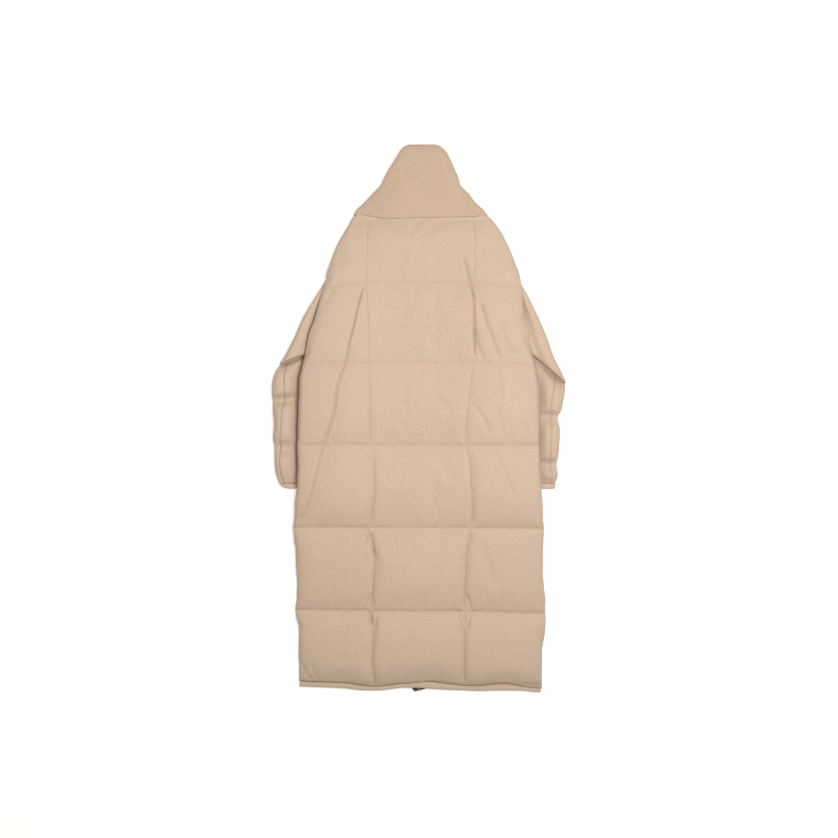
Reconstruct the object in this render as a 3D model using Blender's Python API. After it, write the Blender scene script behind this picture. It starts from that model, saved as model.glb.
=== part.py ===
"""A long puffer coat, laid face down on a flat surface with its back up.

Frame: metres, +Z up, +Y from the hem to the collar, +X to the coat's right-hand side. The origin is under
the middle of the coat, on the surface that it lies on. Every piece that a maker would cut is a node of its
own: a padded wall, made by lofting an outer and an inner skin over the same lines.
"""

import math
from collections import namedtuple

import bmesh
import bpy
import numpy as np

MM = 0.001
SEAM_GAP = 0.3 * MM
LAYER_GAP = 1.0 * MM

# ---------------------------------------------------------------- body sizes
# One row for each level of the body, from the neck to the hem. The two seams run down the back.
BodyLevel = namedtuple("BodyLevel", "y left left_seam right_seam right")
BODY = [
    BodyLevel(0.5450, -0.100, -0.078, 0.084, 0.107),
    BodyLevel(0.5300, -0.112, -0.090, 0.097, 0.121),
    BodyLevel(0.5110, -0.131, -0.108, 0.116, 0.142),
    BodyLevel(0.4975, -0.145, -0.122, 0.131, 0.156),
    BodyLevel(0.4893, -0.164, -0.126, 0.136, 0.178),
    BodyLevel(0.4560, -0.185, -0.126, 0.136, 0.205),
    BodyLevel(0.4170, -0.207, -0.126, 0.135, 0.222),
    BodyLevel(0.3770, -0.219, -0.125, 0.134, 0.238),
    BodyLevel(0.3400, -0.228, -0.125, 0.134, 0.250),
    BodyLevel(0.2970, -0.244, -0.124, 0.133, 0.255),
    BodyLevel(0.2380, -0.257, -0.124, 0.133, 0.259),
    BodyLevel(0.2010, -0.270, -0.123, 0.132, 0.267),
    BodyLevel(0.1620, -0.278, -0.123, 0.131, 0.278),
    BodyLevel(0.1030, -0.292, -0.122, 0.128, 0.290),
    BodyLevel(0.0440, -0.293, -0.121, 0.122, 0.293),
    BodyLevel(-0.0640, -0.298, -0.119, 0.117, 0.294),
    BodyLevel(-0.1700, -0.299, -0.117, 0.117, 0.300),
    BodyLevel(-0.2680, -0.309, -0.115, 0.115, 0.307),
    BodyLevel(-0.3680, -0.302, -0.115, 0.114, 0.305),
    BodyLevel(-0.4730, -0.304, -0.114, 0.113, 0.311),
    BodyLevel(-0.5450, -0.296, -0.116, 0.112, 0.303),
    BodyLevel(-0.6520, -0.294, -0.118, 0.111, 0.300),
]
# The sewn lines across the body, from the neck seam to the stitching above the hem.
QUILT_LINES = (0.545, 0.340, 0.136, -0.064, -0.268, -0.473, -0.652)
ROW_CUTS = (0.0, 0.1, 0.34, 0.66, 0.9)
TOP_ROW_CUTS = (0.0, 0.166, 0.2317, 0.2717, 0.36, 0.56, 0.86)
SIDE_CUTS = (0.0, 0.1, 0.25, 0.4, 0.56, 0.72, 0.87, 0.96, 1.0)
CENTRE_CUTS = (0.0, 0.08, 0.22, 0.4, 0.6, 0.78, 0.92, 1.0)

# The hem waves: its stitching and its lower edge move up and down across the width.
HemPoint = namedtuple("HemPoint", "x stitch edge")
HEM = [
    HemPoint(-0.295, -0.647, -0.660),
    HemPoint(-0.214, -0.648, -0.661),
    HemPoint(-0.163, -0.653, -0.666),
    HemPoint(-0.120, -0.659, -0.669),
    HemPoint(-0.060, -0.655, -0.666),
    HemPoint(-0.010, -0.650, -0.6625),
    HemPoint(0.030, -0.644, -0.6615),
    HemPoint(0.065, -0.647, -0.6645),
    HemPoint(0.100, -0.653, -0.668),
    HemPoint(0.138, -0.657, -0.670),
    HemPoint(0.212, -0.650, -0.6695),
    HemPoint(0.240, -0.656, -0.6695),
    HemPoint(0.300, -0.661, -0.6735),
]

# The largest folds of the back: each is a soft trough from one point to another.
Fold = namedtuple("Fold", "x0 y0 x1 y1 depth width")
FOLDS = [
    Fold(-0.133, 0.330, -0.158, 0.232, 6 * MM, 13 * MM),
    Fold(-0.158, 0.232, -0.200, 0.083, 9 * MM, 14 * MM),
    Fold(-0.200, 0.083, -0.237, -0.069, 10 * MM, 14 * MM),
    Fold(-0.237, -0.069, -0.300, -0.270, 6 * MM, 18 * MM),
    Fold(0.108, 0.410, 0.131, 0.302, 8 * MM, 13 * MM),
    Fold(0.150, 0.270, 0.195, 0.142, 7 * MM, 14 * MM),
    Fold(0.140, 0.020, 0.200, -0.060, 5 * MM, 16 * MM),
    Fold(0.178, -0.090, 0.240, -0.200, 5 * MM, 18 * MM),
]

# ---------------------------------------------------------------- wall sizes
FRONT_WALL = 17 * MM  # the front walls are pressed by what lies on them
BACK_WALL = 32 * MM  # at the crown of a quilted box
STITCHED = 9 * MM  # the back wall along a sewn line
EDGE_WALL = 6 * MM  # each wall at the side seams, the zip and the hem
HEM_WALL = 5 * MM
EDGE_ROLL = 0.05  # how far in from a side seam a wall reaches its full thickness
PRESSED_ABOVE_Y = 0.489  # under the collar the walls are pressed flat
PRESSED_BACK = 11 * MM
FULLNESS = 2.6

# ---------------------------------------------------------------- sleeve sizes
# The sleeves are folded down and tucked under the body. A row is one section of the flattened tube, from
# its outer edge to its inner edge; seam is how far in from the outer edge the long seam runs on top.
SleeveStation = namedtuple("SleeveStation", "outer_x outer_y inner_x inner_y height crown seam")
LEFT_SLEEVE = [
    SleeveStation(-0.2290, 0.341, -0.192, 0.372, 0.010, 0.000, 0.005),
    SleeveStation(-0.2460, 0.318, -0.187, 0.359, 0.013, 0.000, 0.006),
    SleeveStation(-0.2560, 0.299, -0.186, 0.345, 0.016, 0.001, 0.007),
    SleeveStation(-0.2840, 0.248, -0.186, 0.312, 0.022, 0.002, 0.008),
    SleeveStation(-0.3070, 0.196, -0.190, 0.275, 0.023, 0.003, 0.009),
    SleeveStation(-0.3340, 0.148, -0.194, 0.240, 0.023, 0.004, 0.010),
    SleeveStation(-0.3520, 0.120, -0.197, 0.222, 0.023, 0.004, 0.012),
    SleeveStation(-0.3575, 0.107, -0.200, 0.213, 0.021, 0.002, 0.016),
    SleeveStation(-0.3580, 0.100, -0.202, 0.200, 0.015, 0.000, 0.026),
    SleeveStation(-0.3605, 0.082, -0.204, 0.155, 0.022, 0.006, 0.031),
    SleeveStation(-0.3620, 0.062, -0.206, 0.105, 0.023, 0.010, 0.031),
    SleeveStation(-0.3600, 0.044, -0.208, 0.060, 0.021, 0.003, 0.029),
    SleeveStation(-0.3595, 0.022, -0.209, 0.028, 0.023, 0.010, 0.022),
    SleeveStation(-0.3570, -0.012, -0.210, -0.010, 0.024, 0.013, 0.018),
    SleeveStation(-0.3590, -0.045, -0.211, -0.045, 0.023, 0.010, 0.017),
    SleeveStation(-0.3560, -0.071, -0.212, -0.071, 0.021, 0.003, 0.015),
    SleeveStation(-0.3555, -0.098, -0.213, -0.098, 0.023, 0.011, 0.013),
    SleeveStation(-0.3530, -0.128, -0.214, -0.128, 0.023, 0.010, 0.012),
    SleeveStation(-0.3440, -0.159, -0.215, -0.159, 0.019, 0.000, 0.010),
]
LEFT_CUFF = [
    SleeveStation(-0.3430, -0.1593, -0.2152, -0.1593, 0.017, 0.000, 0.010),
    SleeveStation(-0.3370, -0.1660, -0.2155, -0.1660, 0.018, 0.000, 0.010),
    SleeveStation(-0.3290, -0.1715, -0.2158, -0.1720, 0.014, 0.000, 0.010),
]
RIGHT_SLEEVE = [
    SleeveStation(0.2500, 0.336, 0.212, 0.368, 0.010, 0.000, 0.005),
    SleeveStation(0.2620, 0.315, 0.205, 0.354, 0.013, 0.000, 0.006),
    SleeveStation(0.2720, 0.296, 0.202, 0.340, 0.016, 0.001, 0.007),
    SleeveStation(0.2940, 0.248, 0.200, 0.308, 0.022, 0.002, 0.008),
    SleeveStation(0.3150, 0.200, 0.200, 0.272, 0.023, 0.003, 0.009),
    SleeveStation(0.3320, 0.152, 0.200, 0.238, 0.023, 0.004, 0.010),
    SleeveStation(0.3500, 0.115, 0.200, 0.212, 0.023, 0.004, 0.012),
    SleeveStation(0.3620, 0.088, 0.202, 0.202, 0.021, 0.002, 0.018),
    SleeveStation(0.3620, 0.082, 0.203, 0.190, 0.015, 0.000, 0.028),
    SleeveStation(0.3590, 0.064, 0.205, 0.145, 0.022, 0.006, 0.033),
    SleeveStation(0.3550, 0.040, 0.207, 0.085, 0.023, 0.010, 0.030),
    SleeveStation(0.3500, 0.020, 0.208, 0.040, 0.023, 0.008, 0.026),
    SleeveStation(0.3420, 0.003, 0.209, 0.012, 0.020, 0.001, 0.018),
    SleeveStation(0.3470, -0.024, 0.210, -0.022, 0.023, 0.010, 0.022),
    SleeveStation(0.3460, -0.058, 0.211, -0.058, 0.024, 0.013, 0.023),
    SleeveStation(0.3430, -0.092, 0.212, -0.092, 0.023, 0.009, 0.021),
    SleeveStation(0.3390, -0.112, 0.213, -0.112, 0.020, 0.001, 0.018),
    SleeveStation(0.3420, -0.136, 0.214, -0.136, 0.023, 0.008, 0.016),
    SleeveStation(0.3360, -0.159, 0.215, -0.159, 0.019, 0.000, 0.010),
]
RIGHT_CUFF = [
    SleeveStation(0.3350, -0.1593, 0.2152, -0.1593, 0.017, 0.000, 0.010),
    SleeveStation(0.3355, -0.1660, 0.2155, -0.1660, 0.018, 0.000, 0.010),
    SleeveStation(0.3330, -0.1715, 0.2158, -0.1720, 0.014, 0.000, 0.010),
]
SLEEVE_WALL = 0.44  # of the tube's height, each wall
SLEEVE_ROUND = 3.2
CROWN_AT = 0.20  # of the width, where the free part of a sleeve stands highest
CROWN_WIDTH = 0.13
UPPER_CUTS = (0.0, 0.012, 0.06, 0.22, 0.42, 0.62, 0.8, 1.0)
SLEEVE_LIFT = 28 * MM  # the body's height over a sleeve
LIFT_X = (0.095, 0.178)  # where the lift starts, and where it is full
LIFT_Y = (-0.310, -0.200, 0.300, 0.440)  # where it starts, is full, is still full, and has ended

# ---------------------------------------------------------------- collar sizes
CollarLevel = namedtuple("CollarLevel", "y left right height")
COLLAR = [
    CollarLevel(0.4975, -0.162, 0.173, 0.0400),
    CollarLevel(0.5140, -0.151, 0.158, 0.0400),
    CollarLevel(0.5340, -0.131, 0.138, 0.0400),
    CollarLevel(0.5540, -0.113, 0.122, 0.0400),
    CollarLevel(0.5730, -0.095, 0.103, 0.0400),
    CollarLevel(0.5930, -0.085, 0.098, 0.0400),
    CollarLevel(0.6120, -0.075, 0.089, 0.0400),
    CollarLevel(0.6320, -0.062, 0.080, 0.0400),
    CollarLevel(0.6540, -0.049, 0.068, 0.0390),
    CollarLevel(0.6650, -0.040, 0.059, 0.0350),
    CollarLevel(0.6715, -0.033, 0.051, 0.0270),
]
COLLAR_MID_Z = 20 * MM
COLLAR_WALL = 9 * MM
COLLAR_ROUND = 6.0
COLLAR_PLACES = (0.0, 0.35, 0.7, 0.9, 0.985)
STAND_NEST = 0.8 * MM  # between the collar's fall and its stand
STAND_WALL = 8.4 * MM
STAND_FOOT_Y = 0.5456
COLLAR_LIFT = 12.5 * MM  # the body's height over the front of the collar
COLLAR_LIFT_Y = (0.430, 0.485)
FreeEdge = namedtuple("FreeEdge", "x y")
FREE_EDGE = [
    FreeEdge(-0.163, 0.4975),
    FreeEdge(-0.153, 0.5005),
    FreeEdge(-0.116, 0.4965),
    FreeEdge(-0.082, 0.4905),
    FreeEdge(-0.040, 0.4915),
    FreeEdge(0.058, 0.4930),
    FreeEdge(0.134, 0.4955),
    FreeEdge(0.163, 0.4990),
    FreeEdge(0.173, 0.4950),
]

# ---------------------------------------------------------------- zip sizes
FRONT_EDGE_X = 5.5 * MM  # half the space between the fronts
FRONT_DIP_X = (18 * MM, 27 * MM)  # between these the fronts thin down to take the tape
ZIP_ROOM = 2.4 * MM  # the back lies higher over the zip
TAPE_X = (3.5 * MM, 16.5 * MM)
TAPE_Z, TAPE_WALL = 6.9 * MM, 1.0 * MM
TAPE_END_Y = (-0.6705, -0.6640)  # beside the teeth, and at the tape's outer edge
ZIP_TOP_Y = 0.425
CHAIN_HALF, CHAIN_WALL, CHAIN_TOP_Y, CHAIN_END_Y = 3.2 * MM, 2.6 * MM, 0.411, -0.660
SLIDER_Y = 0.412
PLATE_SIZE = (9.0 * MM, 13.0 * MM, 1.2 * MM)
PLATE_Z = (4.7 * MM, 9.1 * MM)  # the middles of the two plates
POST_SIZE = (2.4 * MM, 3.0 * MM, 4.4 * MM)
BAIL_Z = (0.3 * MM, 4.5 * MM)
BAIL_WIDTH, BAIL_LENGTH, BAIL_BAR = 2.0 * MM, 9.0 * MM, 1.0 * MM
PULL_AXIS_Z = 2.6 * MM
PULL_WIDTH, PULL_LENGTH, PULL_WALL = 7.4 * MM, 29.0 * MM, 1.2 * MM
PULL_BAR = 0.7 * MM  # from the pull's axis to each side of the bar that it turns on
PULL_WINDOW = (4.0 * MM, 6.0 * MM)
TURN_STEPS = 6


# ---------------------------------------------------------------- materials and scene
def clear_scene():
    for old in list(bpy.data.objects):
        bpy.data.objects.remove(old)


def make_material(name, colour, roughness, metallic=0.0):
    made = bpy.data.materials.new(name)
    made.use_nodes = True
    shader = made.node_tree.nodes["Principled BSDF"]
    shader.inputs["Base Color"].default_value = (*colour, 1.0)
    shader.inputs["Roughness"].default_value = roughness
    shader.inputs["Metallic"].default_value = metallic
    return made


def add_object(name, mesh, material, home=None):
    made = bpy.data.objects.new(name, mesh)
    mesh.materials.append(material)
    (home or coat).objects.link(made)
    return made


# ---------------------------------------------------------------- small mathematics
def smooth(t):
    """0 below 0, 1 above 1, and an S-curve between."""
    t = min(max(t, 0.0), 1.0)
    return t * t * (3 - 2 * t)


def roll(t):
    """A quarter circle: how a padded edge rises from nothing to full thickness."""
    t = min(max(t, 0.0), 1.0)
    return math.sqrt(1 - (1 - t) ** 2)


def swell(t):
    """The crown of a quilted box: 0 at its two sewn lines and 1 in the middle."""
    return (1 - abs(2 * min(max(t, 0.0), 1.0) - 1) ** FULLNESS) ** 0.6


def lerp(a, b, t):
    return a + (b - a) * t


def read(table, key, column, value):
    """The column's value where the key column has that value, between the table's rows."""
    rows = sorted(table, key=lambda row: getattr(row, key))
    return float(np.interp(value, [getattr(r, key) for r in rows], [getattr(r, column) for r in rows]))


# ---------------------------------------------------------------- walls
def two_triangles(work, corners):
    """Splits a lattice cell the same way in every piece, so that pieces that lie together stay apart."""
    keys = [corner.co.x - corner.co.y for corner in corners]
    start = keys.index(min(keys))
    a, b, c, d = corners[start:] + corners[:start]
    work.faces.new((a, b, c))
    work.faces.new((a, c, d))


def wall(name, outer, inner, material, closed=False):
    """A solid between two skins, each a list of rows of points. closed joins the last column to the first."""
    rows, columns = len(outer), len(outer[0])
    around = columns if closed else columns - 1
    work = bmesh.new()
    skins = [[[work.verts.new(p) for p in row] for row in skin] for skin in (outer, inner)]
    for skin in skins:
        for r in range(rows - 1):
            for c in range(around):
                d = (c + 1) % columns
                two_triangles(work, [skin[r][c], skin[r][d], skin[r + 1][d], skin[r + 1][c]])
    for r in (0, rows - 1):
        for c in range(around):
            d = (c + 1) % columns
            work.faces.new((skins[0][r][c], skins[0][r][d], skins[1][r][d], skins[1][r][c]))
    if not closed:
        for c in (0, columns - 1):
            for r in range(rows - 1):
                work.faces.new((skins[0][r][c], skins[0][r + 1][c], skins[1][r + 1][c], skins[1][r][c]))
    bmesh.ops.recalc_face_normals(work, faces=work.faces)
    mesh = bpy.data.meshes.new(name)
    work.to_mesh(mesh)
    work.free()
    return add_object(name, mesh, material)


def eased(grid, first=True, last=True):
    """The grid with its end columns drawn in by half a seam gap, so that neighbours stay apart."""
    out = []
    for line in grid:
        row = [np.array(p, float) for p in line]
        for there, end, beside in ((first, 0, 1), (last, -1, -2)):
            if there:
                step = row[beside] - row[end]
                row[end] = row[end] + step / np.linalg.norm(step) * SEAM_GAP / 2
        out.append([tuple(p) for p in row])
    return out


# ---------------------------------------------------------------- body
def edge(side, y):
    return read(BODY, "y", side, y)


def inwards(x, y):
    """How far this point is inside the nearer side seam."""
    return min(x - edge("left", y), edge("right", y) - x)


def lift(x, y):
    """How high the fronts lie over what is under them: the sleeves, and the front of the collar."""
    start, full, still, ended = LIFT_Y
    along = smooth((y - start) / (full - start)) * smooth((ended - y) / (ended - still))
    aside = smooth((abs(x) - LIFT_X[0]) / (LIFT_X[1] - LIFT_X[0]))
    low, high = COLLAR_LIFT_Y
    return SLEEVE_LIFT * along * aside + COLLAR_LIFT * smooth((y - low) / (high - low))


def front_wall(x, y):
    """The front wall's thickness, which rolls down to the side seams, the neck, the hem and the zip."""
    share = min(
        roll(inwards(x, y) / EDGE_ROLL),
        roll((y - QUILT_LINES[-1]) / EDGE_ROLL),
        smooth((PRESSED_ABOVE_Y - y) / EDGE_ROLL),
    )
    return lerp(EDGE_WALL, FRONT_WALL, share)


def layer_gap(x, y):
    """The space between the front and the back: next to nothing at the side seams, most over the zip."""
    at_zip = (1 - smooth((abs(x) - TAPE_X[1]) / TAPE_X[1])) * smooth((PRESSED_ABOVE_Y - y) / EDGE_ROLL)
    return lerp(SEAM_GAP, LAYER_GAP, smooth(inwards(x, y) / EDGE_ROLL)) + ZIP_ROOM * at_zip


def across(y):
    """How full the quilted box is at this level, between its two sewn lines."""
    lines = (PRESSED_ABOVE_Y, *QUILT_LINES[1:])
    for high, low in zip(lines, lines[1:]):
        if low <= y <= high:
            return swell((high - y) / (high - low))
    return 0.0


def fold_depth(x, y):
    """How deep the folds are at this point."""
    deepest = 0.0
    for fold in FOLDS:
        along = np.array((fold.x1 - fold.x0, fold.y1 - fold.y0))
        t = np.dot((x - fold.x0, y - fold.y0), along) / np.dot(along, along)
        t = min(max(t, 0.0), 1.0)
        away = math.dist((x, y), (fold.x0 + t * along[0], fold.y0 + t * along[1]))
        deepest = max(deepest, fold.depth * math.exp(-((away / fold.width) ** 2)))
    return deepest


def back_wall(x, y, t):
    """The back wall's thickness, t of the way across its panel."""
    rest = STITCHED if y < PRESSED_ABOVE_Y - EDGE_ROLL else PRESSED_BACK
    rest = lerp(EDGE_WALL, rest, roll(inwards(x, y) / EDGE_ROLL))
    full = lerp(rest, BACK_WALL, swell(t) * across(y))
    return max(full - fold_depth(x, y) * across(y), EDGE_WALL)


def hem_shift(x, y):
    """How far the wave of the hem moves this point up or down."""
    share = max(0.0, (QUILT_LINES[-2] - y) / (QUILT_LINES[-2] - QUILT_LINES[-1]))
    return share * (read(HEM, "x", "stitch", x) - QUILT_LINES[-1])


def body_levels():
    """The y of every lattice line, from the neck to the hem stitching."""
    levels = []
    for number, (high, low) in enumerate(zip(QUILT_LINES, QUILT_LINES[1:])):
        cuts = TOP_ROW_CUTS if number == 0 else ROW_CUTS
        levels += [lerp(high, low, t) for t in cuts]
    return [*levels, QUILT_LINES[-1]]


def back_columns(start, stop, cuts, y):
    return [lerp(edge(start, y), edge(stop, y), t) for t in cuts]


def back_panel(name, start, stop, cuts, material):
    """One quilted panel of the back, between two of the body's lines."""
    at_side = stop in ("left", "right")
    outer, inner = [], []
    for y in body_levels():
        tops, bottoms = [], []
        for t, x in zip(cuts, back_columns(start, stop, cuts, y)):
            base = lift(x, y) + front_wall(x, y) + layer_gap(x, y)
            place = y + hem_shift(x, y)
            tops.append((x, place, base + back_wall(x, y, t)))
            bottoms.append((x, place, base))
        outer.append(tops)
        inner.append(bottoms)
    return wall(name, eased(outer, last=not at_side), eased(inner, last=not at_side), material)


def front_columns(side, y):
    """The x of a front's lattice lines: those of the back that lies on it, then three at the zip."""
    sign = -1 if side == "left" else 1
    beside = back_columns(side + "_seam", side, SIDE_CUTS, y)
    middle = sorted(back_columns("left_seam", "right_seam", CENTRE_CUTS, y), key=lambda x: -sign * x)
    return [*reversed(beside), *middle[1:3], sign * FRONT_DIP_X[1], sign * FRONT_DIP_X[0], sign * FRONT_EDGE_X]


def front_panel(name, side, material):
    """One front, from its side seam to the zip, on the same lines as the back that lies on it."""
    outer, inner = [], []
    for y in body_levels():
        tops, bottoms = [], []
        for x in front_columns(side, y):
            thick = front_wall(x, y) if abs(x) >= FRONT_DIP_X[1] - MM else EDGE_WALL
            place = y + hem_shift(x, y)
            tops.append((x, place, lift(x, y) + thick))
            bottoms.append((x, place, lift(x, y)))
        outer.append(tops)
        inner.append(bottoms)
    return wall(name, outer, inner, material)


def back_hem_columns():
    y = QUILT_LINES[-1]
    left = back_columns("left_seam", "left", SIDE_CUTS, y)
    middle = back_columns("left_seam", "right_seam", CENTRE_CUTS, y)
    return [*reversed(left), *middle[1:-1], *back_columns("right_seam", "right", SIDE_CUTS, y)]


def hem_band(name, xs, on_back, material):
    """The turned edge below the last line of stitching."""
    outer, inner = [], []
    for t, thin in ((0.0, 0.9), (0.6, 1.0), (1.0, 0.5)):
        tops, bottoms = [], []
        for x in xs:
            stitch, rim = read(HEM, "x", "stitch", x), read(HEM, "x", "edge", x)
            y = lerp(stitch - SEAM_GAP, rim, t)
            base = EDGE_WALL + layer_gap(x, QUILT_LINES[-1]) if on_back else 0.0
            tops.append((x, y, base + HEM_WALL * thin))
            bottoms.append((x, y, base))
        outer.append(tops)
        inner.append(bottoms)
    return wall(name, outer, inner, material)


# ---------------------------------------------------------------- sleeves
def tube_skin(station, places, depth):
    """One row of a sleeve's skin. Each place is (how far across from -1 to 1, which face: 1 top, -1 bottom)."""
    outer = np.array((station.outer_x, station.outer_y))
    inner = np.array((station.inner_x, station.inner_y))
    width = float(np.linalg.norm(inner - outer))
    row = []
    for f, face in places:
        x, y = (outer + inner) / 2 + (inner - outer) * (f * (0.5 - depth / width))
        stands = min(1.0, 1.1 * max(0.0, 1 - abs(f) ** SLEEVE_ROUND) ** (1 / SLEEVE_ROUND))
        z = station.height / 2 + face * stands * (station.height / 2 - depth)
        if face > 0 and depth == 0:
            z += station.crown * math.exp(-((((f + 1) / 2 - CROWN_AT) / CROWN_WIDTH) ** 2)) * stands
        row.append((float(x), float(y), z))
    return row


def seam_place(station):
    width = math.dist((station.outer_x, station.outer_y), (station.inner_x, station.inner_y))
    return 2 * station.seam / width - 1


def sleeve(side, stations, material):
    """The two pieces of a sleeve: the upper one over the top, the under one round the edge and beneath."""
    for piece in ("upper", "under"):
        skins = []
        for depth_share in (0.0, SLEEVE_WALL):
            skin = []
            for station in stations:
                seam = seam_place(station)
                if piece == "upper":
                    places = [(lerp(1.0, seam, t), 1) for t in UPPER_CUTS]
                else:
                    places = [(seam, 1), (lerp(seam, -1.0, 0.7), 1), (-1.0, 1), (-0.95, -1), (-0.75, -1)]
                    places += [(-0.3, -1), (0.3, -1), (0.8, -1), (0.96, -1), (1.0, -1)]
                skin.append(tube_skin(station, places, depth_share * station.height))
            skins.append(eased(skin))
        wall(f"sleeve_{side}_{piece}", *skins, material)


def cuff(side, stations, material):
    places = [(1.0, 1), (0.95, 1), (0.7, 1), (0.2, 1), (-0.3, 1), (-0.75, 1), (-0.95, 1)]
    places += [(-f, -1) for f, face in places]
    skins = [[tube_skin(s, places, share * s.height) for s in stations] for share in (0.0, SLEEVE_WALL * 0.7)]
    return wall(f"cuff_{side}", *skins, material, closed=True)


# ---------------------------------------------------------------- collar
def collar_places():
    """Round the collar's section from the middle of the front, over the back, to the front again."""
    half = list(COLLAR_PLACES)
    under_left = [(-f, -1) for f in half]
    top = [(-1.0, 1), *[(-f, 1) for f in reversed(half[1:])], *[(f, 1) for f in half], (1.0, 1)]
    under_right = [(f, -1) for f in reversed(half)]
    return [*under_left, *top, *under_right]


def collar_skin(y, depth):
    """One row of the collar's skin, depth inside the collar's outside."""
    left, right = read(COLLAR, "y", "left", y), read(COLLAR, "y", "right", y)
    half = (right - left) / 2 - depth
    rise = COLLAR_MID_Z - depth if depth else read(COLLAR, "y", "height", y) / 2
    row = []
    for f, face in collar_places():
        x = (left + right) / 2 + f * half
        stands = max(0.0, 1 - abs(f) ** COLLAR_ROUND) ** (1 / COLLAR_ROUND)
        row.append([x, y, COLLAR_MID_Z + face * stands * rise])
    return row


def collar_fall(material):
    """The part of the collar that turns over, from the top fold down to the free edge."""
    skins = []
    for depth in (0.0, COLLAR_WALL):
        skin = []
        for number, level in enumerate(COLLAR):
            row = collar_skin(level.y, depth)
            share = (1.0, 0.6, 0.2)[number] if number < 3 else 0.0
            for point in row:
                point[1] += share * (read(FREE_EDGE, "x", "y", point[0]) - COLLAR[0].y)
            skin.append(row)
        skins.append(eased(skin))
    return wall("collar_fall", *skins, material)


def collar_stand(material):
    """The part inside the fall, from the neck seam up to the top fold."""
    levels = [STAND_FOOT_Y, *[level.y for level in COLLAR if level.y > STAND_FOOT_Y + 2 * MM]]
    start = COLLAR_WALL + STAND_NEST
    skins = []
    for depth in (start, start + STAND_WALL):
        skins.append(eased([collar_skin(y, depth) for y in levels]))
    return wall("collar_stand", *skins, material)


# ---------------------------------------------------------------- zip
def strip(name, sign, xs, z, thick, top_y, ends, material):
    """A flat strip along the fronts' edges; ends are its lower end at each of the two xs."""
    levels = [top_y, *[y for y in body_levels() if max(ends) + 5 * MM < y < top_y - 5 * MM]]
    low, high = [], []
    for y in levels:
        low.append([(sign * x, y, z - thick / 2) for x in xs])
        high.append([(sign * x, y, z + thick / 2) for x in xs])
    low.append([(sign * x, end, z - thick / 2) for x, end in zip(xs, ends)])
    high.append([(sign * x, end, z + thick / 2) for x, end in zip(xs, ends)])
    return wall(name, high, low, material)


def box(name, size, middle, material, home=None):
    bpy.ops.mesh.primitive_cube_add(size=1.0, location=(0, 0, 0))
    made = bpy.context.active_object
    for old in list(made.users_collection):
        old.objects.unlink(made)
    (home or coat).objects.link(made)
    made.name = name
    made.data.name = name
    for vertex in made.data.vertices:
        vertex.co = [c * s + m for c, s, m in zip(vertex.co, size, middle)]
    made.data.materials.append(material)
    return made


def join_to(target, tool, operation="UNION"):
    """Adds the tool to the target, or cuts it away."""
    step = target.modifiers.new(tool.name, "BOOLEAN")
    step.operation = operation
    step.solver = "EXACT"
    step.object = tool
    tool.hide_render = True
    tool.display_type = "WIRE"


def zip_slider(material):
    body = box("zip_slider", PLATE_SIZE, (0, SLIDER_Y, PLATE_Z[0]), material)
    middle_z = (PLATE_Z[0] + PLATE_Z[1]) / 2
    join_to(body, box("tool_plate", PLATE_SIZE, (0, SLIDER_Y, PLATE_Z[1]), material, tools))
    join_to(body, box("tool_post", POST_SIZE, (0, SLIDER_Y + 3.5 * MM, middle_z), material, tools))
    low, high = BAIL_Z
    bail = (BAIL_WIDTH, BAIL_LENGTH, high - low)
    join_to(body, box("tool_bail", bail, (0, SLIDER_Y, (low + high) / 2), material, tools))
    under_plate = PLATE_Z[0] - PLATE_SIZE[2] / 2
    room = (BAIL_WIDTH * 2, BAIL_LENGTH - 2 * BAIL_BAR, under_plate - low - BAIL_BAR)
    room_z = (low + BAIL_BAR + under_plate) / 2
    join_to(body, box("tool_bail_room", room, (0, SLIDER_Y, room_z), material, tools), "DIFFERENCE")


def pull_outline():
    """The pull's outline: square at the bar, round at the free end."""
    half, far = PULL_WIDTH / 2, PULL_LENGTH - PULL_WIDTH / 2
    turn = [math.radians(180 * k / TURN_STEPS) for k in range(TURN_STEPS + 1)]
    arc = [(half * math.cos(a), -far - half * math.sin(a)) for a in turn]
    return [(-half, -PULL_LENGTH / 3), (-half, PULL_BAR), (half, PULL_BAR), (half, -PULL_LENGTH / 3), *arc]


def window_outline():
    """The window behind the bar, with a point for each point of the outline."""
    half, near, far = PULL_WINDOW[0] / 2, -PULL_BAR, -PULL_BAR - PULL_WINDOW[1]
    points = [(-half, lerp(near, far, 0.5)), (-half, near), (half, near), (half, lerp(near, far, 0.5))]
    return [*points, *[(lerp(half, -half, k / TURN_STEPS), far) for k in range(TURN_STEPS + 1)]]


def zip_pull(material):
    """The tab, which turns on a bar inside the slider's bail."""
    skins = []
    for outline in (pull_outline(), window_outline()):
        skin = []
        for z in (PULL_AXIS_Z - PULL_WALL / 2, PULL_AXIS_Z + PULL_WALL / 2):
            skin.append([(x, SLIDER_Y + y, z) for x, y in outline])
        skins.append(skin)
    return wall("zip_pull", *skins, material, closed=True)


# ---------------------------------------------------------------- the coat
clear_scene()
coat = bpy.data.collections.new("long_puffer_coat")
tools = bpy.data.collections.new("tools")
bpy.context.scene.collection.children.link(coat)
bpy.context.scene.collection.children.link(tools)

wool = make_material("wool_shell", (0.66, 0.50, 0.37), 0.95)
tape = make_material("zip_tape", (0.10, 0.045, 0.025), 0.9)
teeth = make_material("zip_teeth", (0.16, 0.09, 0.05), 0.5)
metal = make_material("zip_metal", (0.30, 0.20, 0.13), 0.35, 1.0)

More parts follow.
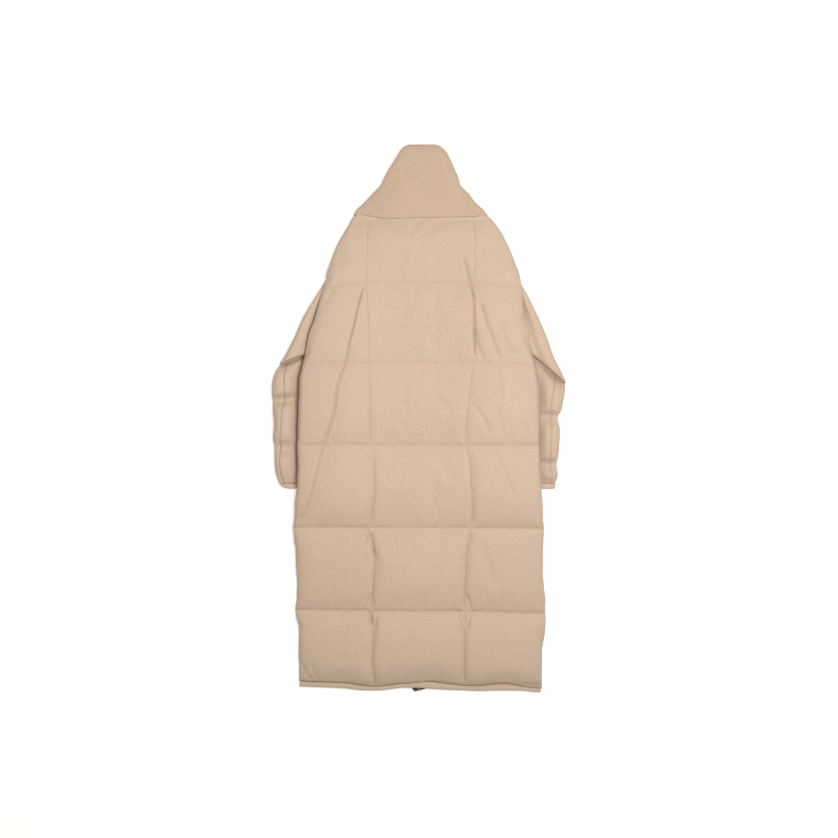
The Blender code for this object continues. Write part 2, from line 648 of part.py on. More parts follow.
back_panel("back_centre", "left_seam", "right_seam", CENTRE_CUTS, wool)
back_panel("back_side_left", "left_seam", "left", SIDE_CUTS, wool)
back_panel("back_side_right", "right_seam", "right", SIDE_CUTS, wool)
front_panel("front_left", "left", wool)
front_panel("front_right", "right", wool)
hem_band("hem_back", back_hem_columns(), True, wool)
hem_band("hem_front_left", front_columns("left", QUILT_LINES[-1]), False, wool)
hem_band("hem_front_right", front_columns("right", QUILT_LINES[-1]), False, wool)
sleeve("left", LEFT_SLEEVE, wool)
sleeve("right", RIGHT_SLEEVE, wool)
cuff("left", LEFT_CUFF, wool)
cuff("right", RIGHT_CUFF, wool)
collar_fall(wool)
collar_stand(wool)
strip("zip_tape_left", -1, TAPE_X, TAPE_Z, TAPE_WALL, ZIP_TOP_Y, TAPE_END_Y, tape)
strip("zip_tape_right", 1, TAPE_X, TAPE_Z, TAPE_WALL, ZIP_TOP_Y, TAPE_END_Y, tape)
chain_ends = (CHAIN_END_Y, CHAIN_END_Y)
strip("zip_chain", 1, (-CHAIN_HALF, CHAIN_HALF), TAPE_Z, CHAIN_WALL, CHAIN_TOP_Y, chain_ends, teeth)
zip_slider(metal)
zip_pull(metal)
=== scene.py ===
# %% [markdown]
# # A long puffer coat, laid flat with its back up
# This lesson dresses a plain solid model of a down-filled wool coat. The solid model says where every
# piece lies and how big it is. Here each padded piece gets its real surface: quilted boxes blown up by a
# cloth simulation, listed folds pressed in, flecked wool cloth, stitches and a zip.

# %% Load the solid model
import math

import bpy
import numpy as np
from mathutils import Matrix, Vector


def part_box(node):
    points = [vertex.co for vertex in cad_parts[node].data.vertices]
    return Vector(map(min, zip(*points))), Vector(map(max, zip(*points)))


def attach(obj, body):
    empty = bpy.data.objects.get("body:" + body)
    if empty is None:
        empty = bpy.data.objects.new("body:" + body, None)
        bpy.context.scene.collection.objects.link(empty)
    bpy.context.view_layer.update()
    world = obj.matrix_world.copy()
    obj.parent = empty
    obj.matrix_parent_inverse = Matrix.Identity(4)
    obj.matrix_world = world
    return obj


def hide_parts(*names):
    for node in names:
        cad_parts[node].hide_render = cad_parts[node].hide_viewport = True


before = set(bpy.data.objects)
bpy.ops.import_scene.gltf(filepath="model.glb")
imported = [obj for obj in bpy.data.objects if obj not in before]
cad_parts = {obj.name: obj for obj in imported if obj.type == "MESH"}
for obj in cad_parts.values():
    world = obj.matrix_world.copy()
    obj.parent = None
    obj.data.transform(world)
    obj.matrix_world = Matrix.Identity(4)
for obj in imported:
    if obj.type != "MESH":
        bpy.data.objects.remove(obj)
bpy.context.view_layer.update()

MM = 0.001

# %% [markdown]
# ## Camera, floor and light
# The coat lies on a pale floor and is looked at from straight above. A long lens keeps its outline true.
# One soft light hangs over the upper half and a little to the right. Down at the hem it comes in at a slant,
# so the upper slope of each box is bright and its lower slope is in shade. A warm white surround fills the
# shadows, and the floor glows faintly, as a light table does.

# %% Camera
LOOK_FROM = 6.0
FRAME_WIDTH = 2.053
camera_data = bpy.data.cameras.new("camera")
camera_data.sensor_width = 36.0
camera_data.lens = 36.0 * (LOOK_FROM - 0.035) / FRAME_WIDTH
camera_data.clip_end = 50.0
camera = bpy.data.objects.new("camera", camera_data)
camera.location = (0.0, 0.0, LOOK_FROM)
bpy.context.scene.collection.objects.link(camera)
bpy.context.scene.camera = camera
print("lens:", round(camera_data.lens, 1), "mm")

# %% Floor
bpy.ops.mesh.primitive_grid_add(x_subdivisions=8, y_subdivisions=8, size=40.0, location=(0.0, 0.0, -0.0006))
floor = bpy.context.active_object
floor.name = "floor"
floor_paint = bpy.data.materials.new("floor_paint")
floor_paint.use_nodes = True
floor_shader = floor_paint.node_tree.nodes["Principled BSDF"]
floor_shader.inputs["Base Color"].default_value = (0.93, 0.93, 0.93, 1.0)
floor_shader.inputs["Roughness"].default_value = 0.9
floor_shader.inputs["Emission Color"].default_value = (1.0, 1.0, 1.0, 1.0)
floor_shader.inputs["Emission Strength"].default_value = 0.4
floor.data.materials.append(floor_paint)

# %% Lights
def soft_light(name, place, target, size, watts, warmth=(1.0, 1.0, 1.0)):
    """A square lamp at place, turned to face target."""
    lamp = bpy.data.lights.new(name, "AREA")
    lamp.shape = "SQUARE"
    lamp.size = size
    lamp.energy = watts
    lamp.color = warmth
    holder = bpy.data.objects.new(name, lamp)
    holder.location = place
    holder.rotation_euler = (Vector(target) - Vector(place)).to_track_quat("-Z", "Y").to_euler()
    bpy.context.scene.collection.objects.link(holder)
    return holder


soft_light("key", (0.30, 0.27, 2.0), (0.0, 0.1, 0.0), 0.8, 38.5, (1.0, 1.02, 1.04))
bpy.context.scene.view_settings.view_transform = "Standard"
surround = bpy.data.worlds.new("surround")
surround.use_nodes = True
surround.node_tree.nodes["Background"].inputs["Color"].default_value = (1.0, 0.89, 0.79, 1.0)
surround.node_tree.nodes["Background"].inputs["Strength"].default_value = 0.35
bpy.context.scene.world = surround

# %% [markdown]
# ## The cloth: flecked wool
# The shell is a brushed wool blend. Its yarns were spun from fibres of several beiges, so the colour is a
# fine, slightly streaky mix that runs across the coat. Close up there is a plain weave under a short nap.
# Two shader groups make these, because the shell and the zip tape both use the weave.

# %% A shader group for the mixed fibres
def new_group(name, inputs, outputs):
    """A shader group with named sockets. inputs are (name, kind, value) and outputs are (name, kind)."""
    group = bpy.data.node_groups.new(name, "ShaderNodeTree")
    for label, kind, value in inputs:
        socket = group.interface.new_socket(label, in_out="INPUT", socket_type="NodeSocket" + kind)
        socket.default_value = value
    for label, kind in outputs:
        group.interface.new_socket(label, in_out="OUTPUT", socket_type="NodeSocket" + kind)
    start = group.nodes.new("NodeGroupInput")
    end = group.nodes.new("NodeGroupOutput")
    return group, start, end


def node(tree, kind, links=None, **settings):
    """Adds a node, sets its properties and joins sockets: links maps an input to a socket or a value."""
    made = tree.nodes.new(kind)
    for key, value in settings.items():
        setattr(made, key, value)
    for key, value in (links or {}).items():
        socket = made.inputs[key]
        if isinstance(value, bpy.types.NodeSocket):
            tree.links.new(value, socket)
        else:
            socket.default_value = value
    return made


fibres, start, end = new_group(
    "mixed_fibres",
    [
        ("Colour", "Color", (0.6, 0.45, 0.33, 1.0)),
        ("Pale fibre", "Color", (0.8, 0.7, 0.6, 1.0)),
        ("Dark fibre", "Color", (0.4, 0.25, 0.15, 1.0)),
        ("Fleck size", "Float", 0.004),
        ("Strength", "Float", 0.2),
    ],
    [("Colour", "Color"), ("Fleck", "Float")],
)
place = node(fibres, "ShaderNodeTexCoord").outputs["Object"]
along = node(fibres, "ShaderNodeVectorMath", {0: place, 1: (0.55, 1.0, 1.0)}, operation="MULTIPLY")
per_fleck = node(fibres, "ShaderNodeMath", {0: 1.0, 1: start.outputs["Fleck size"]}, operation="DIVIDE")
fine = node(
    fibres, "ShaderNodeTexNoise", {"Vector": along.outputs[0], "Scale": per_fleck.outputs[0], "Detail": 3.0}
)
broad = node(fibres, "ShaderNodeTexNoise", {"Vector": place, "Scale": 9.0, "Detail": 2.0})
pale = node(fibres, "ShaderNodeMapRange", {"Value": fine.outputs[0], "From Min": 0.5, "From Max": 0.8})
dark = node(fibres, "ShaderNodeMapRange", {"Value": fine.outputs[0], "From Min": 0.5, "From Max": 0.2})
strength = start.outputs["Strength"]
pale_share = node(fibres, "ShaderNodeMath", {0: pale.outputs[0], 1: strength}, operation="MULTIPLY")
dark_share = node(fibres, "ShaderNodeMath", {0: dark.outputs[0], 1: strength}, operation="MULTIPLY")
lighter = node(
    fibres,
    "ShaderNodeMix",
    {0: pale_share.outputs[0], 6: start.outputs["Colour"], 7: start.outputs["Pale fibre"]},
    data_type="RGBA",
)
darker = node(
    fibres,
    "ShaderNodeMix",
    {0: dark_share.outputs[0], 6: lighter.outputs[2], 7: start.outputs["Dark fibre"]},
    data_type="RGBA",
)
cloud = node(
    fibres,
    "ShaderNodeMapRange",
    {"Value": broad.outputs[0], "From Min": 0.3, "From Max": 0.7, "To Min": 0.992, "To Max": 1.008},
)
clouded = node(fibres, "ShaderNodeVectorMath", {0: darker.outputs[2], 3: cloud.outputs[0]}, operation="SCALE")
fibres.links.new(clouded.outputs[0], end.inputs["Colour"])
fibres.links.new(fine.outputs[0], end.inputs["Fleck"])

# %% A shader group for the weave and the nap
weave, start, end = new_group(
    "weave_and_nap",
    [("Thread", "Float", 0.0012), ("Nap", "Float", 0.5)],
    [("Height", "Float")],
)
place = node(weave, "ShaderNodeTexCoord").outputs["Object"]
turns = node(weave, "ShaderNodeMath", {0: math.pi, 1: start.outputs["Thread"]}, operation="DIVIDE")
scaled = node(weave, "ShaderNodeVectorMath", {0: place, 3: turns.outputs[0]}, operation="SCALE")
parts = node(weave, "ShaderNodeSeparateXYZ", {0: scaled.outputs[0]})
across_yarn = node(weave, "ShaderNodeMath", {0: parts.outputs[0]}, operation="SINE")
along_yarn = node(weave, "ShaderNodeMath", {0: parts.outputs[1]}, operation="SINE")
over_under = node(
    weave, "ShaderNodeMath", {0: across_yarn.outputs[0], 1: along_yarn.outputs[0]}, operation="MULTIPLY"
)
fuzz = node(weave, "ShaderNodeTexNoise", {"Vector": place, "Scale": 420.0, "Detail": 4.0, "Roughness": 0.65})
fuzz_part = node(weave, "ShaderNodeMath", {0: fuzz.outputs[0], 1: start.outputs["Nap"]}, operation="MULTIPLY")
weave_part = node(weave, "ShaderNodeMath", {0: over_under.outputs[0], 1: 0.25}, operation="MULTIPLY")
height = node(weave, "ShaderNodeMath", {0: fuzz_part.outputs[0], 1: weave_part.outputs[0]}, operation="ADD")
weave.links.new(height.outputs[0], end.inputs["Height"])


# %% Cloth materials
def cloth_material(
    name, colour, pale, dark,
    fleck=0.0019, strength=0.42, thread=0.0013, nap=0.8, bump=0.0006, roughness=0.95, sheen=0.12,
):  # fmt: skip
    """Flecked cloth: its three colours, then the size and strength of the flecks, the weave and the finish.
    What isn't given is as on the wool shell."""
    made = bpy.data.materials.new(name)
    made.use_nodes = True
    tree = made.node_tree
    shader = tree.nodes["Principled BSDF"]
    mix = node(tree, "ShaderNodeGroup", node_tree=fibres)
    for label, value in (("Colour", colour), ("Pale fibre", pale), ("Dark fibre", dark)):
        mix.inputs[label].default_value = (*value, 1.0)
    mix.inputs["Fleck size"].default_value = fleck
    mix.inputs["Strength"].default_value = strength
    threads = node(tree, "ShaderNodeGroup", node_tree=weave)
    threads.inputs["Thread"].default_value = thread
    threads.inputs["Nap"].default_value = nap
    relief = {"Height": threads.outputs["Height"], "Distance": bump, "Strength": 0.6}
    raised = node(tree, "ShaderNodeBump", relief)
    tree.links.new(mix.outputs["Colour"], shader.inputs["Base Color"])
    tree.links.new(raised.outputs["Normal"], shader.inputs["Normal"])
    shader.inputs["Roughness"].default_value = roughness
    shader.inputs["Sheen Weight"].default_value = sheen
    shader.inputs["Sheen Roughness"].default_value = 0.6
    shader.inputs["Specular IOR Level"].default_value = 0.15
    return made


wool = cloth_material("wool_shell", (0.562, 0.428, 0.317), pale=(0.75, 0.63, 0.52), dark=(0.36, 0.24, 0.15))
DEEPER_FIBRES = {"pale": (0.70, 0.58, 0.47), "dark": (0.33, 0.22, 0.14)}
# The collar is the shell's wool with painted shade: its colour and fibres are made darker and warmer to stand
# for the dimmer light on the collar.
collar_wool_painted_shade = cloth_material("wool_collar_painted_shade", (0.526, 0.389, 0.284), **DEEPER_FIBRES)
tape_cloth = cloth_material(
    "zip_tape",
    colour=(0.085, 0.040, 0.022),
    pale=(0.20, 0.12, 0.08),
    dark=(0.03, 0.012, 0.006),
    fleck=0.0015,
    strength=0.3,
    thread=0.0006,
    nap=0.2,
    bump=0.0002,
    roughness=0.85,
    sheen=0.05,
)
print("cloths:", wool.name, collar_wool_painted_shade.name, tape_cloth.name)

# %% [markdown]
# ## The measures of the body
# These tables hold the same sizes as the solid model: the outline of the body, where its two long seams
# run, and where the quilting is sewn. A table is read at any height by drawing a smooth line through its
# rows.

# %% Outline, seams and hem
OUTLINE = np.array([  # y, left, right
    (0.545, -0.098, 0.105), (0.53, -0.112, 0.121), (0.511, -0.141, 0.15), (0.4985, -0.1585, 0.169),
    (0.493, -0.1645, 0.1765), (0.475, -0.1735, 0.191), (0.456, -0.185, 0.2045), (0.436, -0.197, 0.214),
    (0.417, -0.206, 0.222), (0.397, -0.2125, 0.23), (0.377, -0.2195, 0.2385), (0.358, -0.226, 0.246),
    (0.34, -0.229, 0.2505), (0.297, -0.244, 0.2545), (0.238, -0.257, 0.2585), (0.201, -0.27, 0.2665),
    (0.162, -0.278, 0.2785), (0.128, -0.287, 0.286), (0.103, -0.293, 0.29), (0.044, -0.2955, 0.294),
    (0.0, -0.297, 0.2965), (-0.064, -0.2985, 0.296), (-0.12, -0.298, 0.298), (-0.17, -0.2995, 0.3),
    (-0.2, -0.304, 0.303), (-0.24, -0.3055, 0.305), (-0.268, -0.3095, 0.307), (-0.289, -0.307, 0.3065),
    (-0.32, -0.3035, 0.3055), (-0.368, -0.3025, 0.305), (-0.405, -0.3, 0.3065), (-0.446, -0.301, 0.3095),
    (-0.47, -0.3045, 0.311), (-0.49, -0.3015, 0.312), (-0.508, -0.2955, 0.3115), (-0.53, -0.295, 0.308),
    (-0.548, -0.296, 0.3035), (-0.6, -0.295, 0.303), (-0.652, -0.295, 0.3025),
])  # fmt: skip
LONG_SEAMS = np.array([  # y, left seam, right seam
    (0.545, -0.078, 0.084), (0.53, -0.09, 0.097), (0.511, -0.108, 0.116), (0.492, -0.125, 0.134),
    (0.431, -0.127, 0.137), (0.336, -0.1285, 0.1335), (0.272, -0.1255, 0.1308), (0.186, -0.122, 0.135),
    (0.136, -0.1205, 0.133), (0.044, -0.12, 0.12), (-0.049, -0.119, 0.112), (-0.064, -0.115, 0.115),
    (-0.095, -0.1085, 0.123), (-0.181, -0.108, 0.129), (-0.238, -0.115, 0.13), (-0.268, -0.12, 0.126),
    (-0.31, -0.113, 0.12), (-0.345, -0.108, 0.115), (-0.424, -0.114, 0.1135), (-0.47, -0.119, 0.1145),
    (-0.522, -0.112, 0.112), (-0.598, -0.115, 0.1115), (-0.652, -0.108, 0.1115),
])  # fmt: skip
HEM = np.array([  # x, stitching, lower edge
    (-0.3, -0.641, -0.6575), (-0.283, -0.644, -0.6585), (-0.238, -0.646, -0.66),
    (-0.180, -0.6480, -0.6625),
    (-0.148, -0.6555, -0.667), (-0.109, -0.659, -0.668), (-0.087, -0.6575, -0.667),
    (-0.043, -0.6515, -0.6610),
    (-0.009, -0.649, -0.661), (0.013, -0.646, -0.662), (0.036, -0.6435, -0.6645), (0.067, -0.651, -0.666),
    (0.111, -0.6565, -0.6675), (0.145, -0.6575, -0.669), (0.187, -0.6525, -0.668), (0.222, -0.652, -0.668),
    (0.254, -0.659, -0.668), (0.28, -0.662, -0.6715), (0.3, -0.663, -0.6725),
])  # fmt: skip


def smooth_read(table, key, column, value, soften=0.004):
    """A column of a table at any value of its key column, with the corners softened."""
    order = np.argsort(table[:, key])
    keys, values = table[order, key], table[order, column]
    value = np.asarray(value, float)
    reads = [np.interp(value + shift * soften, keys, values) for shift in (-2, -1, 0, 1, 2)]
    return (reads[0] + 4 * reads[1] + 6 * reads[2] + 4 * reads[3] + reads[4]) / 16


def through(table, per_step):
    """A smooth curve through the rows of a table, with per_step new rows for each old one."""
    rows = len(table)
    padded = np.concatenate([2 * table[:1] - table[1:2], table, 2 * table[-1:] - table[-2:-1]])
    out = []
    for r in range(rows - 1):
        a, b, c, d = padded[r : r + 4]
        slope, bend, twist = c - a, 2 * a - 5 * b + 4 * c - d, 3 * b - a - 3 * c + d
        for k in range(per_step):
            t = k / per_step
            out.append(0.5 * (2 * b + slope * t + bend * t**2 + twist * t**3))
    out.append(table[-1])
    return np.array(out)


def side(which, y):
    return smooth_read(OUTLINE, 0, 1 if which == "left" else 2, y, 0.002)


def seam(which, y):
    return smooth_read(LONG_SEAMS, 0, 1 if which == "left" else 2, y)


# %% Where the quilting is sewn
SewnRow = {  # the height of each sewn row at the left side, the left seam, the right seam and the right side
    "neck": (0.545, 0.545, 0.545, 0.545),
    "collar edge": (0.489, 0.489, 0.489, 0.489),
    "row 1": (0.3200, 0.3360, 0.3375, 0.3220),
    "row 2": (0.1330, 0.1365, 0.1365, 0.1310),
    "row 3": (-0.0640, -0.0640, -0.0650, -0.0655),
    "row 4": (-0.2660, -0.2675, -0.2680, -0.2695),
    "row 5": (-0.4695, -0.4720, -0.4740, -0.4775),
}


def sewn_y(row, x):
    """The height of a sewn row at x; the last row is the wavy stitching of the hem."""
    if row == "hem":
        return smooth_read(HEM, 0, 1, x, 0.006)
    across = np.stack([(-0.25, -0.16, 0.16, 0.25), SewnRow[row]], axis=1)
    return smooth_read(across, 0, 1, x, 0.02)


ROWS = [*SewnRow, "hem"]
print(len(ROWS) - 2, "rows of quilted boxes")

# %% [markdown]
# ## How high each layer lies
# The coat lies on its front, so the fronts touch the floor, and the back lies on them. Where a sleeve is
# tucked under the body, both are lifted over it, and near the neck they are lifted over the collar's front.

# %% Heights
EDGE_WALL, FRONT_WALL = 6 * MM, 17 * MM
SLEEVE_LIFT, COLLAR_LIFT = 28 * MM, 12.5 * MM


def ease(t):
    t = np.clip(t, 0.0, 1.0)
    return t * t * (3 - 2 * t)


def quarter(t):
    t = np.clip(t, 0.0, 1.0)
    return np.sqrt(1 - (1 - t) ** 2)


def lift(x, y):
    along = ease((y + 0.310) / 0.110) * ease((0.440 - y) / 0.140)
    aside = ease((np.abs(x) - 0.095) / 0.083)
    return SLEEVE_LIFT * along * aside + COLLAR_LIFT * ease((y - 0.430) / 0.055)


def top_lift(x, y):
    """How far the outside of the back is lifted: the down spreads the step, so it is a long gentle rise."""
    along = ease((y + 0.40) / 0.26) * ease((0.475 - y) / 0.22)
    aside = ease((np.abs(x) - 0.030) / 0.170)
    return 0.86 * SLEEVE_LIFT * along * aside + COLLAR_LIFT * ease((y - 0.390) / 0.100)


def inwards(x, y):
    return np.minimum(x - side("left", y), side("right", y) - x)


def front_wall(x, y):
    share = np.minimum(quarter(inwards(x, y) / 0.05), quarter((y + 0.652) / 0.05))
    share = np.minimum(share, ease((0.489 - y) / 0.05))
    return EDGE_WALL + (FRONT_WALL - EDGE_WALL) * share


def back_base(x, y):
    """The underside of the back: on the fronts, a little higher over the zip."""
    at_zip = (1 - ease((np.abs(x) - 0.0165) / 0.0165)) * ease((0.489 - y) / 0.05)
    clear = 0.3 * MM + 0.7 * MM * ease(inwards(x, y) / 0.05) + 2.4 * MM * at_zip
    return lift(x, y) + front_wall(x, y) + clear


# %% [markdown]
# ## The lattice of the back
# The whole back is one lattice of points, so that its panels meet exactly at their seams. Its columns
# follow the outline and the long seams, and its rows follow the sewn rows. Columns stand close together at
# the outline, where the shell turns down steeply, and beside each long seam.

# %% Columns and rows
SIDE_CELLS, CENTRE_CELLS, BOX_CELLS, TOP_CELLS = 19, 29, 24, 7
SEAM_HALF = 3.5 * MM
EDGE_STEPS, EDGE_BAND = np.array([0.0, 1.2, 3.2, 6.5]) * MM, 12 * MM


def even(a, b, count):
    return [a + (b - a) * k / count for k in range(count + 1)]


def body_columns(y):
    left, right = side("left", y), side("right", y)
    left_seam, right_seam = seam("left", y), seam("right", y)
    xs = [left + step for step in EDGE_STEPS]
    xs += even(left + EDGE_BAND, left_seam - SEAM_HALF, SIDE_CELLS)
    xs += [left_seam] + even(left_seam + SEAM_HALF, right_seam - SEAM_HALF, CENTRE_CELLS) + [right_seam]
    xs += even(right_seam + SEAM_HALF, right - EDGE_BAND, SIDE_CELLS)
    xs += [right - step for step in EDGE_STEPS[::-1]]
    return xs


LEFT_SEAM_COLUMN = len(EDGE_STEPS) + SIDE_CELLS + 1
RIGHT_SEAM_COLUMN = LEFT_SEAM_COLUMN + CENTRE_CELLS + 2


def body_lattice():
    """Points (x, y) of the back, and for each row its sewn row's number where it lies on one."""
    nominal = [float(np.mean(SewnRow[r])) if r in SewnRow else -0.652 for r in ROWS]
    lines = []
    for k, (high, low) in enumerate(zip(ROWS, ROWS[1:])):
        cells = TOP_CELLS if k == 0 else BOX_CELLS
        for c in range(cells):
            lines.append((high, low, c / cells, k if c == 0 else -1))
    lines.append((ROWS[-2], ROWS[-1], 1.0, len(ROWS) - 1))
    grid, sewn = [], []
    for high, low, t, line in lines:
        flat_y = nominal[ROWS.index(high)] * (1 - t) + nominal[ROWS.index(low)] * t
        xs = np.array(body_columns(np.float64(flat_y)))
        y = sewn_y(high, xs) * (1 - t) + sewn_y(low, xs) * t
        grid.append(np.stack([xs, y], axis=1))
        sewn.append(line)
    return np.array(grid), np.array(sewn)


flat, sewn = body_lattice()
print("lattice of the back:", flat.shape[0], "x", flat.shape[1], "points")

# %% [markdown]
# ## Blowing up the boxes
# The down pushes the shell outwards, and the sewn lines hold it down. So the lattice starts a little domed,
# the points on the sewn lines are pinned, the cloth is made slightly too big for its frame as a quilter cuts
# it, and a gentle pressure blows it up. The extra cloth gathers into small puckers beside the stitching.

# %% Start shape
def dome(t, power=2.3):
    return (1 - np.abs(2 * np.clip(t, 0, 1) - 1) ** power) ** 0.85


DEPTHS = np.array([  # y, how far the long seams lie below the boxes, and how far the sewn rows do
    (0.5, 0.0003, 0.008), (0.336, 0.0003, 0.0065), (0.136, 0.0006, 0.0095), (-0.064, 0.0026, 0.0125),
    (-0.267, 0.005, 0.015), (-0.472, 0.006, 0.0165), (-0.652, 0.006, 0.018),
])  # fmt: skip


def start_height(flat, sewn):
    """Height of each lattice point before the cloth is blown up, and which points are pinned."""
    x, y = flat[..., 0], flat[..., 1]
    down = np.zeros(len(flat))
    marks = np.where(sewn >= 0)[0]
    for a, b in zip(marks[1:], marks[2:]):
        inside = np.arange(a, b + 1)
        t = (inside - a) / (b - a)
        down[inside] = dome(t)
        if sewn[a] == 1:
            down[inside] = np.where(t < 0.5, np.sin(math.pi * t) ** 0.9, down[inside])
    inward = inwards(x, y)
    over_arm = ease((y - 0.130) / 0.060) * ease((0.400 - y) / 0.080)
    turn = (9 + 13 * over_arm) * MM
    edge = 0.72 * quarter(inward / turn) + 0.28 * quarter(inward / (55 * MM))
    from_seam = np.minimum(np.abs(x - seam("left", y)), np.abs(x - seam("right", y)))
    seam_dip, row_dip = smooth_read(DEPTHS, 0, 1, y, 0.03), smooth_read(DEPTHS, 0, 2, y, 0.03)
    dip = seam_dip * np.exp(-((from_seam / (10 * MM)) ** 2))
    dip += (0.5 * MM + 0.35 * seam_dip) * np.exp(-((from_seam / (2.5 * MM)) ** 2))
    crest = 22 * MM
    rim = 3 * MM + 2.5 * MM * over_arm
    low = rim + (crest - row_dip - rim) * quarter(inward / turn)
    full = down[:, None] * edge
    ground = top_lift(x, y) + front_wall(x, y) + 1 * MM
    at_seam = from_seam < 0.1 * MM
    pinned = (sewn >= 0)[:, None] | (inward < 0.1 * MM) | at_seam | (y > 0.4885)
    return ground + low + row_dip * full - dip * np.minimum(1.0, 2 * down[:, None]), pinned


# %% The simulation
def faces_of(index):
    """The faces of a lattice whose points have these numbers."""
    corners = [index[:-1, :-1], index[1:, :-1], index[1:, 1:], index[:-1, 1:]]
    return np.stack([corner.ravel() for corner in corners], axis=1)


def blow_up(points, pinned, pressure, extra, steps, stiffness=12.0, bending=0.4):
    """Runs Blender's Cloth on a lattice of points with the pinned ones held, and returns the new points."""
    rows, columns = points.shape[:2]
    index = np.arange(rows * columns).reshape(rows, columns)
    mesh = bpy.data.meshes.new("blown")
    mesh.from_pydata(points.reshape(-1, 3).tolist(), [], faces_of(index).tolist())
    piece = bpy.data.objects.new("blown", mesh)
    bpy.context.scene.collection.objects.link(piece)
    group = piece.vertex_groups.new(name="sewn")
    group.add(np.where(pinned.ravel())[0].tolist(), 1.0, "REPLACE")
    cloth = piece.modifiers.new("cloth", "CLOTH")
    settings = cloth.settings
    settings.quality = 5
    settings.mass = 0.15
    settings.tension_stiffness = settings.compression_stiffness = stiffness
    settings.shear_stiffness = stiffness * 0.5
    settings.bending_stiffness = bending
    settings.air_damping = 3.0
    settings.use_pressure = True
    settings.uniform_pressure_force = pressure
    settings.shrink_min = settings.shrink_max = -extra
    settings.vertex_group_mass = "sewn"
    settings.pin_stiffness = 1.0
    settings.effector_weights.gravity = 0.0
    cloth.collision_settings.use_collision = False
    scene = bpy.context.scene
    cloth.point_cache.frame_start, cloth.point_cache.frame_end = 1, steps
    for step in range(1, steps + 1):
        scene.frame_set(step)
    shape = piece.evaluated_get(bpy.context.evaluated_depsgraph_get()).to_mesh()
    moved = np.empty(len(shape.vertices) * 3)
    shape.vertices.foreach_get("co", moved)
    bpy.data.objects.remove(piece)
    bpy.data.meshes.remove(mesh)
    scene.frame_set(1)
    return moved.reshape(rows, columns, 3)


z, pinned = start_height(flat, sewn)
started = np.dstack([flat, z])
blown = blow_up(started, pinned, pressure=1.4, extra=0.003, steps=24, bending=3.0)
CAP = 16 * MM
shift = blown - started
length = np.linalg.norm(shift, axis=2, keepdims=True)
blown = started + shift * np.minimum(1.0, CAP / np.maximum(length, 1e-9))
print("the down moved the shell by up to", round(float(length.max()) * 1000, 1), "mm")


# %% [markdown]
# ## A finer lattice, and folds
# Folds are narrower than the simulated cells, so the lattice is split in three each way, with new points on
# smooth curves through the old ones, and it is drawn in towards the sharp folds. Then the folds are pressed
# in one by one. Each one follows a few points from its top to its bottom. It has a groove along its line, and
# the cloth on either side of the line may stand up (more than 0) or sink (less than 0) as far as its reach.
# A fold fades out at both ends.

# %% Splitting the lattice
def finer(grid, times=3):
    return np.swapaxes(through(np.swapaxes(through(grid, times), 0, 1), times), 0, 1)


back = finer(blown)
print("back:", back.shape[0], "x", back.shape[1], "points")

